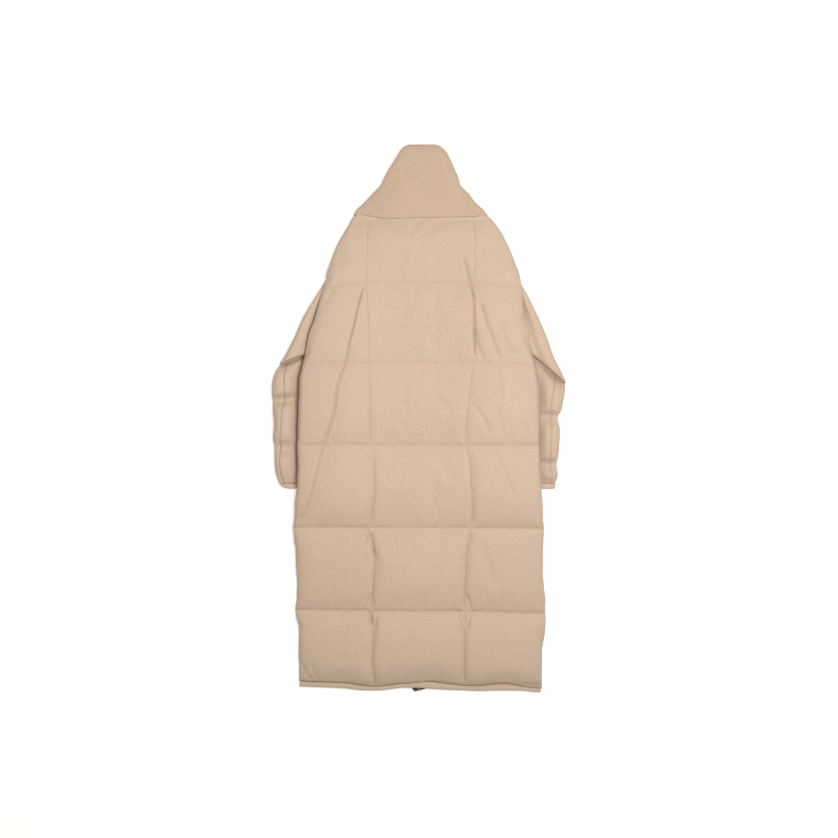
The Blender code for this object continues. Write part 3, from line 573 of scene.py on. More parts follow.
# %% The folds of the back
FOLDS = [  # groove depth and half width, left stand and reach, right stand and reach (mm), then the line (m)
    # the long diagonal fold of the left side
    (6.0, 2.4, -3.0, 20, 2.0, 7, [(-0.1335, 0.333), (-0.147, 0.282), (-0.158, 0.233), (-0.17, 0.185),
                                  (-0.176, 0.158)]),
    (7.0, 2.4, 1.0, 6, -4.5, 22, [(-0.169, 0.19), (-0.18, 0.14), (-0.2, 0.083), (-0.208, 0.02),
                                  (-0.227, -0.039), (-0.238, -0.068)]),
    (4.5, 2.8, 1.0, 8, -3.5, 22, [(-0.229, -0.044), (-0.238, -0.07), (-0.249, -0.113), (-0.269, -0.194),
                                  (-0.302, -0.262)]),
    # beside the right seam, and the folds that spread from it
    (7.0, 2.6, 1.5, 8, -4.5, 17, [(0.1076, 0.412), (0.119, 0.355), (0.128, 0.317), (0.1335, 0.291),
                                  (0.1345, 0.225), (0.136, 0.17), (0.135, 0.14)]),
    (6.4, 8.0, 0, 9, 0, 9, [(0.14, 0.295), (0.15, 0.273), (0.166, 0.2205), (0.1825, 0.179), (0.198, 0.134)]),
    (3.6, 6.5, 0, 9, 0, 9, [(0.134, 0.228), (0.14, 0.186), (0.148, 0.165), (0.16, 0.14)]),
    (4.2, 9.0, 0, 9, 0, 9, [(0.197, 0.25), (0.205, 0.196), (0.222, 0.169), (0.236, 0.138)]),
    (4.4, 5.0, 0, 9, 0, 9, [(0.256, 0.205), (0.268, 0.18), (0.281, 0.145)]),
    (3.6, 7.0, 0, 9, 0, 9, [(0.187, 0.135), (0.197, 0.078), (0.203, 0.02)]),
    (2.6, 7.5, 0, 9, 0, 9, [(0.227, 0.135), (0.236, 0.098), (0.25, 0.06)]),
    (2.6, 7.5, 0, 9, 0, 9, [(0.249, 0.13), (0.266, 0.094), (0.285, 0.06)]),
    (3.6, 6.0, 0, 9, 0, 9, [(0.134, 0.04), (0.14, 0.0245), (0.1605, -0.007), (0.172, -0.045)]),
    (3.2, 9.0, 0, 9, 0, 9, [(0.187, 0.042), (0.196, 0.0), (0.204, -0.05)]),
    (3.8, 9.0, 0, 9, 0, 9, [(0.1825, -0.074), (0.205, -0.13), (0.235, -0.2)]),
    (4.0, 12.0, 0, 9, 0, 9, [(0.15, -0.29), (0.165, -0.35), (0.187, -0.42)]),
    # by the seams, above and below the last two sewn rows
    (6.2, 3.8, 0, 9, 0, 9, [(-0.133, -0.25), (-0.126, -0.279), (-0.115, -0.312), (-0.105, -0.346)]),
    (4.4, 3.8, 0, 9, 0, 9, [(-0.118, -0.274), (-0.13, -0.322), (-0.136, -0.366)]),
    (4.0, 4.1, 0, 9, 0, 9, [(-0.117, -0.425), (-0.124, -0.45), (-0.1255, -0.475)]),
    (5.5, 4.1, 0, 9, 0, 9, [(-0.138, -0.462), (-0.122, -0.48), (-0.112, -0.512)]),
    (4.2, 4.1, 0, 9, 0, 9, [(-0.099, -0.47), (-0.106, -0.492), (-0.108, -0.522)]),
    (4.0, 4.1, 0, 9, 0, 9, [(0.117, -0.428), (0.123, -0.452), (0.127, -0.476)]),
    (5.5, 4.1, 0, 9, 0, 9, [(0.092, -0.466), (0.104, -0.488), (0.111, -0.514)]),
    (4.6, 4.1, 0, 9, 0, 9, [(0.132, -0.47), (0.122, -0.492), (0.116, -0.522)]),
    # at the left armhole, the neck end of the left seam, and the lower left corner
    (2.0, 7.0, 0, 9, 0, 9, [(-0.206, 0.33), (-0.22, 0.3), (-0.238, 0.258)]),
    (1.4, 3.6, 0, 9, 0, 9, [(-0.1405, 0.41), (-0.14, 0.375), (-0.138, 0.34)]),
    (3.0, 6.5, 0, 9, 0, 9, [(-0.294, -0.59), (-0.278, -0.62), (-0.258, -0.65)]),
    (2.2, 7.0, 0, 9, 0, 9, [(-0.268, -0.59), (-0.258, -0.622), (-0.24, -0.65)]),
]


# %% Pressing the folds in
SHARP = 3.0  # a fold whose half width (mm) is less than this is sharp


def from_line(x, y, line):
    """Signed distance of points to a line, more than 0 on its right as it runs down, how far along, and
    how far off in x and in y."""
    line = through(np.array(line), 8)
    pieces = np.diff(line, axis=0)
    lengths = np.linalg.norm(pieces, axis=1)
    starts = np.concatenate([[0.0], np.cumsum(lengths)])
    best, signed, along = np.full(x.shape, 1e9), np.zeros(x.shape), np.zeros(x.shape)
    off = [np.zeros(x.shape), np.zeros(x.shape)]
    for (ax, ay), (dx, dy), length, start in zip(line, pieces, lengths, starts):
        t = np.clip(((x - ax) * dx + (y - ay) * dy) / length**2, 0.0, 1.0)
        off_x, off_y = x - ax - t * dx, y - ay - t * dy
        away = np.hypot(off_x, off_y)
        near = away < best
        best = np.where(near, away, best)
        signed = np.where(near, np.copysign(away, dx * off_y - dy * off_x), signed)
        along = np.where(near, (start + t * length) / starts[-1], along)
        off = [np.where(near, off_x, off[0]), np.where(near, off_y, off[1])]
    return signed, along, off


def beside(x, y, line):
    """Which points lie near a fold, how far to which side of it, how much is left of it there, and how far
    off in x and in y."""
    xs, ys = zip(*line)
    near = (x > min(xs) - 0.06) & (x < max(xs) + 0.06) & (y > min(ys) - 0.04) & (y < max(ys) + 0.04)
    signed, along, off = from_line(x[near], y[near], line)
    share = min(0.25, 0.030 / np.hypot(np.diff(xs), np.diff(ys)).sum())
    return near, signed, ease(along / share) * ease((1 - along) / share), off


def drawn_in(grid, folds, reach=9 * MM, share=0.6):
    """Moves points sideways towards the sharp folds, so that the lattice's cells are small beside them."""
    for fold in folds:
        if fold[1] > SHARP:
            continue
        near, signed, fade, (off_x, off_y) = beside(grid[..., 0], grid[..., 1], fold[-1])
        inside = quarter(inwards(*grid[near][:, :2].T) / EDGE_BAND)
        pull = share * fade * np.exp(-((signed / reach) ** 2)) * inside
        grid[near, 0] -= pull * off_x
        grid[near, 1] -= pull * off_y
    return grid


def fold_height(x, y, folds):
    """How far the folds move the cloth up or down at each point."""
    total = np.zeros(x.shape)
    for deep, half, left, left_reach, right, right_reach, line in folds:
        near, signed, fade, _ = beside(x, y, line)
        rise = -deep * np.exp(-np.abs(signed / (half * MM)) ** (1.4 if half < SHARP else 2))
        reach = np.where(signed < 0, left_reach, right_reach) * MM
        rise = rise + np.where(signed < 0, left, right) * np.exp(-((signed / reach) ** 2))
        total[near] += rise * fade * MM
    return total


back = drawn_in(back, FOLDS)
print("deepest fold:", round(-fold_height(back[..., 0], back[..., 1], FOLDS).min() * 1000, 1), "mm")
sewn_down = np.zeros(back.shape[0])
for r in np.where(sewn > 1)[0]:
    sewn_down = np.maximum(sewn_down, np.exp(-((np.arange(back.shape[0]) - 3 * r) ** 2)))
at_edge = quarter(inwards(back[..., 0], back[..., 1]) / (6 * MM))
tight = 0.10 * smooth_read(DEPTHS, 0, 2, back[..., 1], 0.03) * sewn_down[:, None]
pressed = fold_height(back[..., 0], back[..., 1], FOLDS) * (1 - 0.25 * sewn_down[:, None])
back[..., 2] += (pressed - tight) * at_edge

# %% [markdown]
# ## Padded pieces
# Each padded piece is closed: an outer skin, an inner skin, and a rim that joins them. The same small
# function makes them all from two lattices of points.

# %% Adding a piece to the coat
def add_piece(name, points, faces, material, nodes=(), smooth=True):
    """A mesh that rides on the coat's body and stands for some of the solid model's nodes, or for none."""
    mesh = bpy.data.meshes.new(name)
    mesh.from_pydata(points, [], faces)
    mesh.validate()
    if smooth:
        mesh.shade_smooth()
    mesh.materials.append(material)
    piece = bpy.data.objects.new(name, mesh)
    bpy.context.scene.collection.objects.link(piece)
    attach(piece, "root")
    if nodes:
        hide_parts(*nodes)
    print(name, len(mesh.polygons), "faces")
    return piece


# %% Closing two skins into a padded piece
def padded_piece(name, outer, inner, material, nodes, closed=False):
    """A closed piece between two skins of the same size. closed joins the last column to the first. Nothing
    sinks into the floor."""
    rows, columns = outer.shape[:2]
    index = np.arange(rows * columns).reshape(rows, columns)
    if closed:
        index = np.concatenate([index, index[:, :1]], axis=1)
    skin = faces_of(index)
    below = skin[:, ::-1] + rows * columns
    edges = [index[0, ::-1], index[-1]]
    if not closed:
        edges += [index[:, 0], index[::-1, -1]]
    rims = []
    for line in edges:
        inside = line + rows * columns
        rims.append(np.stack([line[1:], line[:-1], inside[:-1], inside[1:]], axis=1))
    points = np.concatenate([outer.reshape(-1, 3), inner.reshape(-1, 3)])
    points[:, 2] = np.maximum(points[:, 2], 0.0)
    faces = np.concatenate([skin, below, *rims])
    piece = add_piece(name, points.tolist(), faces.tolist(), material, nodes)
    return piece


def apart(grid, first=0.0, last=0.0):
    """The grid with its first and last columns moved along x, so that sewn neighbours don't share points."""
    out = grid.copy()
    out[:, 0, 0] += first
    out[:, -1, 0] -= last
    return out


# %% The three panels of the back
SEAM_GAP = 0.02 * MM
under = back.copy()
under[..., 2] = np.minimum(back_base(back[..., 0], np.minimum(back[..., 1], 0.545)), back[..., 2] - 1.5 * MM)
cuts = [0, 3 * LEFT_SEAM_COLUMN, 3 * RIGHT_SEAM_COLUMN, back.shape[1] - 1]
for name, a, b, gaps in (
    ("back_side_left", cuts[0], cuts[1], (0.0, SEAM_GAP)),
    ("back_centre", cuts[1], cuts[2], (SEAM_GAP, SEAM_GAP)),
    ("back_side_right", cuts[2], cuts[3], (SEAM_GAP, 0.0)),
):
    top, bottom = (apart(skin[:, a : b + 1], *gaps) for skin in (back, under))
    padded_piece(name + "_cloth", top, bottom, wool, [name])

# %% [markdown]
# ## The fronts
# The fronts are pressed flat against the floor by everything above them. They are quilted on the same lines
# as the back, so their undersides show shallow grooves, and their edges roll up to the side seams.

# %% The two fronts
FRONT_EDGE_X, FRONT_CELLS = 5.5 * MM, 44


def front_lattice(which):
    sign = -1 if which == "left" else 1
    ends = flat[:, 0, 1].clip(-0.652, 0.545)
    xs = np.array([even(float(side(which, y)), sign * FRONT_EDGE_X, FRONT_CELLS) for y in ends])
    if sign > 0:
        xs = xs[:, ::-1]
    ys = np.empty_like(xs)
    for r in range(len(xs)):
        ys[r] = np.interp(xs[r], flat[r, :, 0], flat[r, :, 1])
    return xs, ys


def front_piece(which):
    x, y = front_lattice(which)
    rim = quarter((inwards(x, y) + 0.4 * MM) / (9 * MM))
    groove = np.zeros(len(x))
    for r in np.where(sewn > 1)[0]:
        groove[r] = 1.0
        groove[[max(r - 1, 0), min(r + 1, len(x) - 1)]] = 0.35
    groove[-1] = 0.4
    pressed = -0.45 * fold_height(-x, y, [fold for fold in FOLDS if fold[0] > 3.5])
    hollow = 2.6 * MM * groove[:, None] + np.maximum(pressed, 0)
    low = lift(x, y) + (EDGE_WALL - 1.2 * MM) * (1 - rim) + hollow * rim
    at_zip = np.abs(x) < 0.018
    high = lift(x, y) + np.where(at_zip, EDGE_WALL, front_wall(x, y)) - 0.2 * MM
    high = np.maximum(high, low + 0.8 * MM)
    outer, inner = np.dstack([x, y, high]), np.dstack([x, y, low])
    return padded_piece(f"front_{which}_cloth", outer, inner, wool, [f"front_{which}"])


front_piece("left")
front_piece("right")

# %% [markdown]
# ## The hem
# Below the last stitching the shell is turned up into a narrow flat band. It is plain cloth with no down in
# it, so it stays thin, and it waves with the stitching because the boxes above draw it in.

# %% Hem bands
HEM_WALL, HEM_SHOWS = 5 * MM, 0.014
HEM_SECTION = [(0.0, 0.62), (0.12, 0.8), (0.35, 1.0), (0.6, 1.0), (0.82, 0.9), (0.95, 0.62), (1.0, 0.25)]


def hem_band(name, low_x, high_x, base, node_name):
    xs = np.linspace(low_x, high_x, int((high_x - low_x) / (5 * MM)))
    top, low = smooth_read(HEM, 0, 1, xs, 0.006) - 0.2 * MM, smooth_read(HEM, 0, 2, xs, 0.006)
    ripple = 0.35 * MM * np.sin(xs * 190 + 2.0 * np.sin(xs * 31)) + 0.25 * MM * np.sin(xs * 83 + 1.0)
    outer, inner = [], []
    for t, full in HEM_SECTION:
        y = top + (low - top) * t
        outer.append(np.stack([xs, y, base + HEM_WALL * full + ripple * full], axis=1))
        inner.append(np.stack([xs, y, base + 0 * xs + 0.1 * MM * (1 - full)], axis=1))
    return padded_piece(name, np.array(outer), np.array(inner), wool, [node_name])


xs = np.linspace(-0.2935, 0.2995, int(0.593 / (5 * MM)))
hem_band("hem_back_cloth", -0.2935, 0.2995, back_base(xs, 0 * xs - 0.652), "hem_back")
hem_band("hem_front_left_cloth", -0.2935, -FRONT_EDGE_X, 0.0, "hem_front_left")
hem_band("hem_front_right_cloth", FRONT_EDGE_X, 0.2995, 0.0, "hem_front_right")

# %% [markdown]
# ## The sleeves
# Each sleeve is a flattened padded tube that comes out from under the shoulder, folds at the elbow and runs
# down beside the body, half hidden. It has two pieces. Their long seam shows near the outer edge of the
# forearm, and short quilted lines cross the forearm. A row of the table is one section of the tube.

# %% Sleeve sections
LEFT_SLEEVE = np.array([  # outer x, outer y, inner x, inner y, height, crown, seam from the outer edge
    (-0.227, 0.345, -0.192, 0.372, 0.01, 0.002, 0.002), (-0.24, 0.325, -0.187, 0.359, 0.016, 0.004, 0.002),
    (-0.256, 0.299, -0.186, 0.345, 0.024, 0.012, 0.002), (-0.286, 0.248, -0.186, 0.312, 0.026, 0.014, 0.002),
    (-0.3075, 0.199, -0.19, 0.275, 0.026, 0.014, 0.003), (-0.3275, 0.16, -0.194, 0.238, 0.027, 0.014, 0.006),
    (-0.337, 0.1445, -0.197, 0.212, 0.028, 0.012, 0.01),
    (-0.3415, 0.137, -0.199, 0.196, 0.028, 0.01, 0.014),
    (-0.3425, 0.1345, -0.2, 0.1895, 0.021, 0.006, 0.016),
    (-0.342, 0.14, -0.2, 0.208, 0.009, 0.0, 0.018),
    (-0.3435, 0.133, -0.201, 0.186, 0.002, 0.0, 0.018),
    (-0.348, 0.1265, -0.202, 0.179, 0.01, 0.0, 0.022),
    (-0.3535, 0.117, -0.203, 0.171, 0.019, 0.002, 0.026), (-0.3602, 0.095, -0.205, 0.15, 0.024, 0.008, 0.03),
    (-0.362, 0.064, -0.206, 0.086, 0.023, 0.012, 0.031), (-0.36, 0.044, -0.208, 0.06, 0.015, 0.001, 0.029),
    (-0.3595, 0.022, -0.209, 0.028, 0.023, 0.012, 0.022),
    (-0.357, -0.012, -0.21, -0.01, 0.024, 0.014, 0.018),
    (-0.359, -0.045, -0.211, -0.045, 0.023, 0.01, 0.017),
    (-0.356, -0.071, -0.212, -0.071, 0.016, 0.001, 0.015),
    (-0.3555, -0.098, -0.213, -0.098, 0.023, 0.012, 0.013),
    (-0.353, -0.128, -0.214, -0.128, 0.023, 0.01, 0.012),
    (-0.346, -0.152, -0.215, -0.152, 0.02, 0.003, 0.011),
    (-0.343, -0.159, -0.215, -0.159, 0.017, 0.0, 0.01),
])  # fmt: skip
RIGHT_SLEEVE = np.array([  # the same columns
    (0.249, 0.34, 0.212, 0.368, 0.01, 0.002, 0.002), (0.258, 0.322, 0.205, 0.354, 0.016, 0.004, 0.002),
    (0.271, 0.298, 0.202, 0.34, 0.024, 0.011, 0.002), (0.295, 0.248, 0.2, 0.308, 0.026, 0.012, 0.002),
    (0.315, 0.201, 0.2, 0.28, 0.026, 0.01, 0.003), (0.331, 0.155, 0.2, 0.256, 0.026, 0.01, 0.004),
    (0.348, 0.122, 0.2, 0.242, 0.027, 0.01, 0.008), (0.3605, 0.094, 0.202, 0.226, 0.027, 0.008, 0.016),
    (0.3612, 0.0885, 0.2025, 0.221, 0.02, 0.006, 0.028), (0.36, 0.096, 0.202, 0.236, 0.009, 0.0, 0.029),
    (0.3608, 0.0865, 0.203, 0.213, 0.002, 0.0, 0.03), (0.3604, 0.081, 0.2035, 0.201, 0.01, 0.0, 0.03),
    (0.3598, 0.073, 0.204, 0.186, 0.019, 0.002, 0.031), (0.3585, 0.06, 0.205, 0.16, 0.023, 0.007, 0.031),
    (0.355, 0.042, 0.207, 0.105, 0.023, 0.012, 0.03), (0.35, 0.02, 0.208, 0.04, 0.022, 0.007, 0.026),
    (0.342, 0.003, 0.209, 0.012, 0.015, 0.0, 0.018), (0.347, -0.024, 0.21, -0.022, 0.023, 0.012, 0.022),
    (0.346, -0.058, 0.211, -0.058, 0.024, 0.014, 0.023), (0.343, -0.092, 0.212, -0.092, 0.022, 0.009, 0.021),
    (0.339, -0.112, 0.213, -0.112, 0.015, 0.0, 0.018), (0.342, -0.136, 0.214, -0.136, 0.023, 0.009, 0.016),
    (0.337, -0.153, 0.215, -0.153, 0.02, 0.002, 0.011), (0.336, -0.159, 0.215, -0.159, 0.017, 0.0, 0.01),
])  # fmt: skip

# %% The sleeve's skins
SLEEVE_WALL, SLEEVE_ROUND, ROW_SPLIT = 0.44, 4.5, 8
# the row of the table where the cloth is tucked up under the elbow's fold
TURN_BACK, TURN_BACK_RISE = 9, 1.6 * MM


def tube_rows(table, f, face, depth, crowned=True):
    """Points of a sleeve's skin: f is how far across from -1 to 1 and face is 1 on top, -1 beneath."""
    outer, inner = table[:, None, 0:2], table[:, None, 2:4]
    width = np.linalg.norm(inner - outer, axis=2)
    tall, crown = table[:, None, 4], table[:, None, 5]
    inset = depth * tall
    spot = (outer + inner) / 2 + (inner - outer) * (f * (0.5 - inset / width))[..., None]
    stands = np.minimum(1.0, 1.1 * np.maximum(0.0, 1 - np.abs(f) ** SLEEVE_ROUND) ** (1 / SLEEVE_ROUND))
    z = tall / 2 + face * stands * (tall / 2 - inset)
    if crowned:
        share = (f + 1) / 2
        swell = crown * quarter(share / 0.11) * (1 - ease((share - 0.24) / 0.22)) * stands
        z = z + np.where(face > 0, swell, 0.0)
    return np.dstack([spot, z])


def sleeve_piece(which, part, table):
    table = through(table, ROW_SPLIT)
    table[:, 5] = np.maximum(table[:, 5], 0.0)
    width = np.linalg.norm(table[:, 0:2] - table[:, 2:4], axis=1)
    seam_f = (2 * table[:, 6] / width - 1)[:, None]
    if part == "upper":
        t = np.concatenate([[0, 0.004, 0.012, 0.03, 0.06], np.linspace(0.1, 0.97, 26), [0.985, 1.0]])
        f = 1 + (seam_f - 1) * t
        face = np.ones_like(f)
    else:
        bend = np.array([0.0, 0.05, 0.2, 0.4, 0.6, 0.75, 0.87, 0.95, 1.0])
        top = seam_f + (-1 - seam_f) * bend
        near_edge = [-0.995, -0.97, -0.92, -0.84]
        beneath = np.concatenate([near_edge, np.linspace(-0.7, 0.85, 12), [0.93, 0.98, 1.0]])
        f = np.concatenate([top, np.tile(beneath, (len(table), 1))], axis=1)
        face = np.concatenate([np.ones_like(top), -np.ones((len(table), len(beneath)))], axis=1)
    outer = tube_rows(table, f, face, 0.0)
    off_turn = np.arange(len(table))[:, None] / ROW_SPLIT - TURN_BACK
    rise = np.where(face < 0, TURN_BACK_RISE * np.exp(-((off_turn / 0.45) ** 2)), 0.0)
    outer[..., 2] += rise
    from_seam = ((f + 1) / 2 - (seam_f + 1) / 2) * width[:, None]
    outer[..., 2] -= np.where(face > 0, 2.6 * MM * np.exp(-((from_seam / (2.2 * MM)) ** 2)), 0.0)
    clear = np.abs(outer[..., 0]) - np.abs(side(which, outer[..., 1]))
    tucked = np.exp(-(((clear + 2 * MM) / (19 * MM)) ** 2)) * ease((0.165 - outer[..., 1]) / 0.04)
    outer[..., 2] -= np.where(face > 0, np.minimum(12 * MM, 0.5 * table[:, None, 4]) * tucked, 0.0)
    inner = tube_rows(table, f, face, SLEEVE_WALL, crowned=False)
    inner[..., 2] += rise
    inner[..., 2] = np.where(face > 0, np.minimum(inner[..., 2], outer[..., 2] - 0.6 * MM), inner[..., 2])
    node_name = f"sleeve_{which}_{part}"
    return padded_piece(node_name + "_cloth", outer, inner, wool, [node_name])


for which, table in (("left", LEFT_SLEEVE), ("right", RIGHT_SLEEVE)):
    sleeve_piece(which, "upper", table)
    sleeve_piece(which, "under", table)

# %% Cuffs
LEFT_CUFF = np.array([
    (-0.3425, -0.1592, -0.2152, -0.1592, 0.015, 0, 0.01),
    (-0.341, -0.161, -0.2153, -0.161, 0.0175, 0, 0.01),
    (-0.337, -0.1655, -0.2155, -0.166, 0.018, 0, 0.01),
    (-0.329, -0.1695, -0.2157, -0.1705, 0.017, 0, 0.01),
    (-0.323, -0.1712, -0.2158, -0.1722, 0.013, 0, 0.01),
])  # fmt: skip
RIGHT_CUFF = np.array([
    (0.335, -0.1592, 0.2152, -0.1592, 0.015, 0, 0.01), (0.336, -0.161, 0.2153, -0.161, 0.0175, 0, 0.01),
    (0.336, -0.1655, 0.2155, -0.166, 0.018, 0, 0.01), (0.335, -0.17, 0.2157, -0.1705, 0.017, 0, 0.01),
    (0.333, -0.1718, 0.2158, -0.1722, 0.013, 0, 0.01),
])  # fmt: skip


def cuff_piece(which, table):
    table = through(table, 3)
    half = np.concatenate([[1.0, 0.985, 0.95, 0.88], np.linspace(0.78, -0.78, 14), [-0.88, -0.95, -0.985]])
    f = np.tile(np.concatenate([half, -half]), (len(table), 1))
    face = np.tile(np.concatenate([np.ones(len(half)), -np.ones(len(half))]), (len(table), 1))
    outer = tube_rows(table, f, face, 0.0)
    inner = tube_rows(table, f, face, SLEEVE_WALL * 0.6)
    return padded_piece(f"cuff_{which}_cloth", outer, inner, wool, [f"cuff_{which}"], closed=True)


cuff_piece("left", LEFT_CUFF)
cuff_piece("right", RIGHT_CUFF)

# %% [markdown]
# ## The collar
# The collar is one deep padded band that stands up from the neck seam and turns over at the top. Its outer
# part, the fall, comes down over the shoulders to a free edge with a soft rolled lip. Both parts are open at
# the middle of the front, where their ends meet under the coat.

# %% Collar sections
COLLAR = np.array([  # y, left, right, height
    (0.4975, -0.1625, 0.173, 0.04), (0.506, -0.157, 0.164, 0.04), (0.514, -0.151, 0.158, 0.04),
    (0.524, -0.141, 0.148, 0.04), (0.534, -0.1315, 0.1375, 0.04), (0.544, -0.122, 0.13, 0.04),
    (0.554, -0.1135, 0.123, 0.04), (0.564, -0.103, 0.111, 0.04), (0.573, -0.0945, 0.1025, 0.04),
    (0.593, -0.085, 0.097, 0.04), (0.612, -0.075, 0.089, 0.04), (0.632, -0.062, 0.08, 0.04),
    (0.645, -0.0545, 0.074, 0.0395), (0.654, -0.049, 0.069, 0.039), (0.662, -0.044, 0.062, 0.037),
    (0.668, -0.037, 0.0545, 0.033), (0.6715, -0.0315, 0.048, 0.027), (0.673, -0.025, 0.04, 0.0215),
])  # fmt: skip
FREE_EDGE = np.array([
    (-0.163, 0.4975), (-0.153, 0.5005), (-0.116, 0.4965), (-0.098, 0.492), (-0.082, 0.4905), (-0.04, 0.4915),
    (0.01, 0.493), (0.058, 0.4935), (0.134, 0.4955), (0.163, 0.499), (0.173, 0.495),
])  # fmt: skip
COLLAR_MID_Z, COLLAR_WALL, COLLAR_ROUND = 20 * MM, 9 * MM, 5.0
LIP = 4.5 * MM


def collar_around():
    """Places round the collar's section from the middle of the front, over the back, to the front again."""
    half = np.concatenate([np.linspace(0, 0.8, 17), [0.85, 0.89, 0.925, 0.95, 0.97, 0.984, 0.993, 0.998]])
    top = np.concatenate([[-1.0], -half[:0:-1], half, [1.0]])
    f = np.concatenate([-half, top, half[::-1]])
    face = np.concatenate([-np.ones(len(half)), np.ones(len(top)), -np.ones(len(half))])
    return f, face


def collar_skin(ys, inset, hold_rise):
    """Rows of the collar's skin at the heights ys, inset inside the outside of the collar."""
    f, face = collar_around()
    inset = np.broadcast_to(inset, len(ys))[:, None]
    left, right = (smooth_read(COLLAR, 0, c, ys, 0.001)[:, None] for c in (1, 2))
    tall = smooth_read(COLLAR, 0, 3, ys, 0.001)[:, None] / 2
    rise = COLLAR_MID_Z - inset if hold_rise else tall - inset
    x = (left + right) / 2 + f * ((right - left) / 2 - inset)
    stands = np.maximum(0.0, 1 - np.abs(f) ** COLLAR_ROUND) ** (1 / COLLAR_ROUND)
    return np.dstack([x, np.broadcast_to(ys[:, None], x.shape), COLLAR_MID_Z + face * stands * rise])


def collar_fall():
    start, stop = COLLAR[0, 0], COLLAR[-1, 0]
    lip_ys = start + LIP * np.array([0, 0.12, 0.35, 0.65, 1.0])
    top_ys = [0.664, 0.667, 0.6695, 0.6715, stop]
    ys = np.concatenate([lip_ys, np.linspace(start + 0.009, 0.66, 44), top_ys])
    near = np.clip((ys - start) / LIP, 0, 1)
    lip = LIP * (1 - np.sqrt(1 - (1 - near) ** 2))
    outer, inner = collar_skin(ys, lip, False), collar_skin(ys, COLLAR_WALL - lip, True)
    fade = 1 - ease((ys - start) / 0.06)
    for skin in (outer, inner):
        skin[..., 1] += fade[:, None] * (smooth_read(FREE_EDGE, 0, 1, skin[..., 0], 0.002) - start)
    x, y, z = (outer[..., k] for k in range(3))
    soft = 1.4 * MM * np.sin(x * 31 + 1.3) * np.sin(y * 37 + 0.4) + 0.8 * MM * np.sin(x * 55 - y * 42 + 2.0)
    sag = 1.5 * MM * np.exp(-(((x + 0.05) / 0.05) ** 2 + ((y - 0.55) / 0.035) ** 2))
    outer[..., 2] += np.where(z > COLLAR_MID_Z, (soft + sag) * near[:, None], 0.0)
    return padded_piece("collar_fall_cloth", outer, inner, collar_wool_painted_shade, ["collar_fall"])


def collar_stand():
    ys = np.concatenate([np.linspace(0.5456, 0.66, 24), [0.665, 0.669, 0.6715]])
    outer, inner = collar_skin(ys, 9.8 * MM, True), collar_skin(ys, 18.2 * MM, True)
    return padded_piece("collar_stand_cloth", outer, inner, collar_wool_painted_shade, ["collar_stand"])


collar_fall()
collar_stand()

# %% [markdown]
# ## Stitches
# Every quilted row and the hem are sewn with a long machine stitch in thread of the cloth's colour. Each
# stitch is a small rounded bead that dips into the cloth at both ends.

# %% Sewing along a line
thread_material = cloth_material(
    "wool_thread",
    colour=(0.500, 0.370, 0.265),
    **DEEPER_FIBRES,
    fleck=0.0009,
    strength=0.4,
    thread=0.0004,
    nap=0.3,
    bump=0.0001,
    roughness=0.8,
    sheen=0.1,
)
STITCH, STITCH_PITCH, THREAD = 3.4 * MM, 4.6 * MM, 0.36 * MM
BEAD = [  # along the stitch, width, how far it sinks
    (-0.5, 0.0, -0.9), (-0.42, 0.6, -0.35), (-0.15, 1.0, 0.0), (0.15, 1.0, 0.0), (0.42, 0.6, -0.35),
    (0.5, 0.0, -0.9),
]  # fmt: skip


def sew(name, lines):
    """Stitches along lines of points (x, y, z), on the upper side of the cloth."""
    points, faces = [], []
    turns = [(math.cos(a), math.sin(a)) for a in np.arange(6) * math.pi / 3]
    for line in lines:
        line = np.asarray(line)
        run = np.concatenate([[0.0], np.cumsum(np.linalg.norm(np.diff(line, axis=0), axis=1))])
        for middle in np.arange(STITCH_PITCH, run[-1] - STITCH_PITCH, STITCH_PITCH):
            here = np.array([np.interp(middle, run, line[:, k]) for k in range(3)])
            ahead = np.array([np.interp(middle + 1 * MM, run, line[:, k]) for k in range(3)])
            way = (ahead - here) / np.linalg.norm(ahead - here)
            across = np.cross(way, (0.0, 0.0, 1.0))
            across /= np.linalg.norm(across)
            normal = np.cross(across, way)
            first = len(points)
            for t, wide, sink in BEAD:
                centre = here + way * t * STITCH + normal * THREAD * (0.55 + sink)
                ring = turns if wide else [(0.0, 0.0)]
                points += [tuple(centre + (across * c + normal * n) * wide * THREAD) for c, n in ring]
            last = len(points) - 1
            for k in range(6):
                a, b = first + 1 + k, first + 1 + (k + 1) % 6
                faces.append((first, b, a))
                for row in range(3):
                    faces.append((a + 6 * row, b + 6 * row, b + 6 * (row + 1), a + 6 * (row + 1)))
                faces.append((a + 18, b + 18, last))
    print(len(points) // 26, "stitches")
    return add_piece(name, points, faces, thread_material)


sew("back_stitches", [back[3 * r, 4:-4] for r in np.where(sewn > 1)[0][:-1]])
hem_x = np.linspace(-0.290, 0.296, 160)
hem_line = np.stack([hem_x, smooth_read(HEM, 0, 1, hem_x, 0.006) - 3.2 * MM, 0 * hem_x], axis=1)
hem_line[:, 2] = back_base(hem_x, 0 * hem_x - 0.652) + 4.9 * MM
sew("hem_stitches", [hem_line])

# %% [markdown]
# ## The zip
# The front closes with a zip that lies underneath, and only the ends of its dark tapes show below the hem,
# held together by a small box. The tapes are thin ribbons with a raised edge. The slider and the pull are
# solid and already right, so they only need their finish. The closed teeth were one strip, and are made here
# one by one.

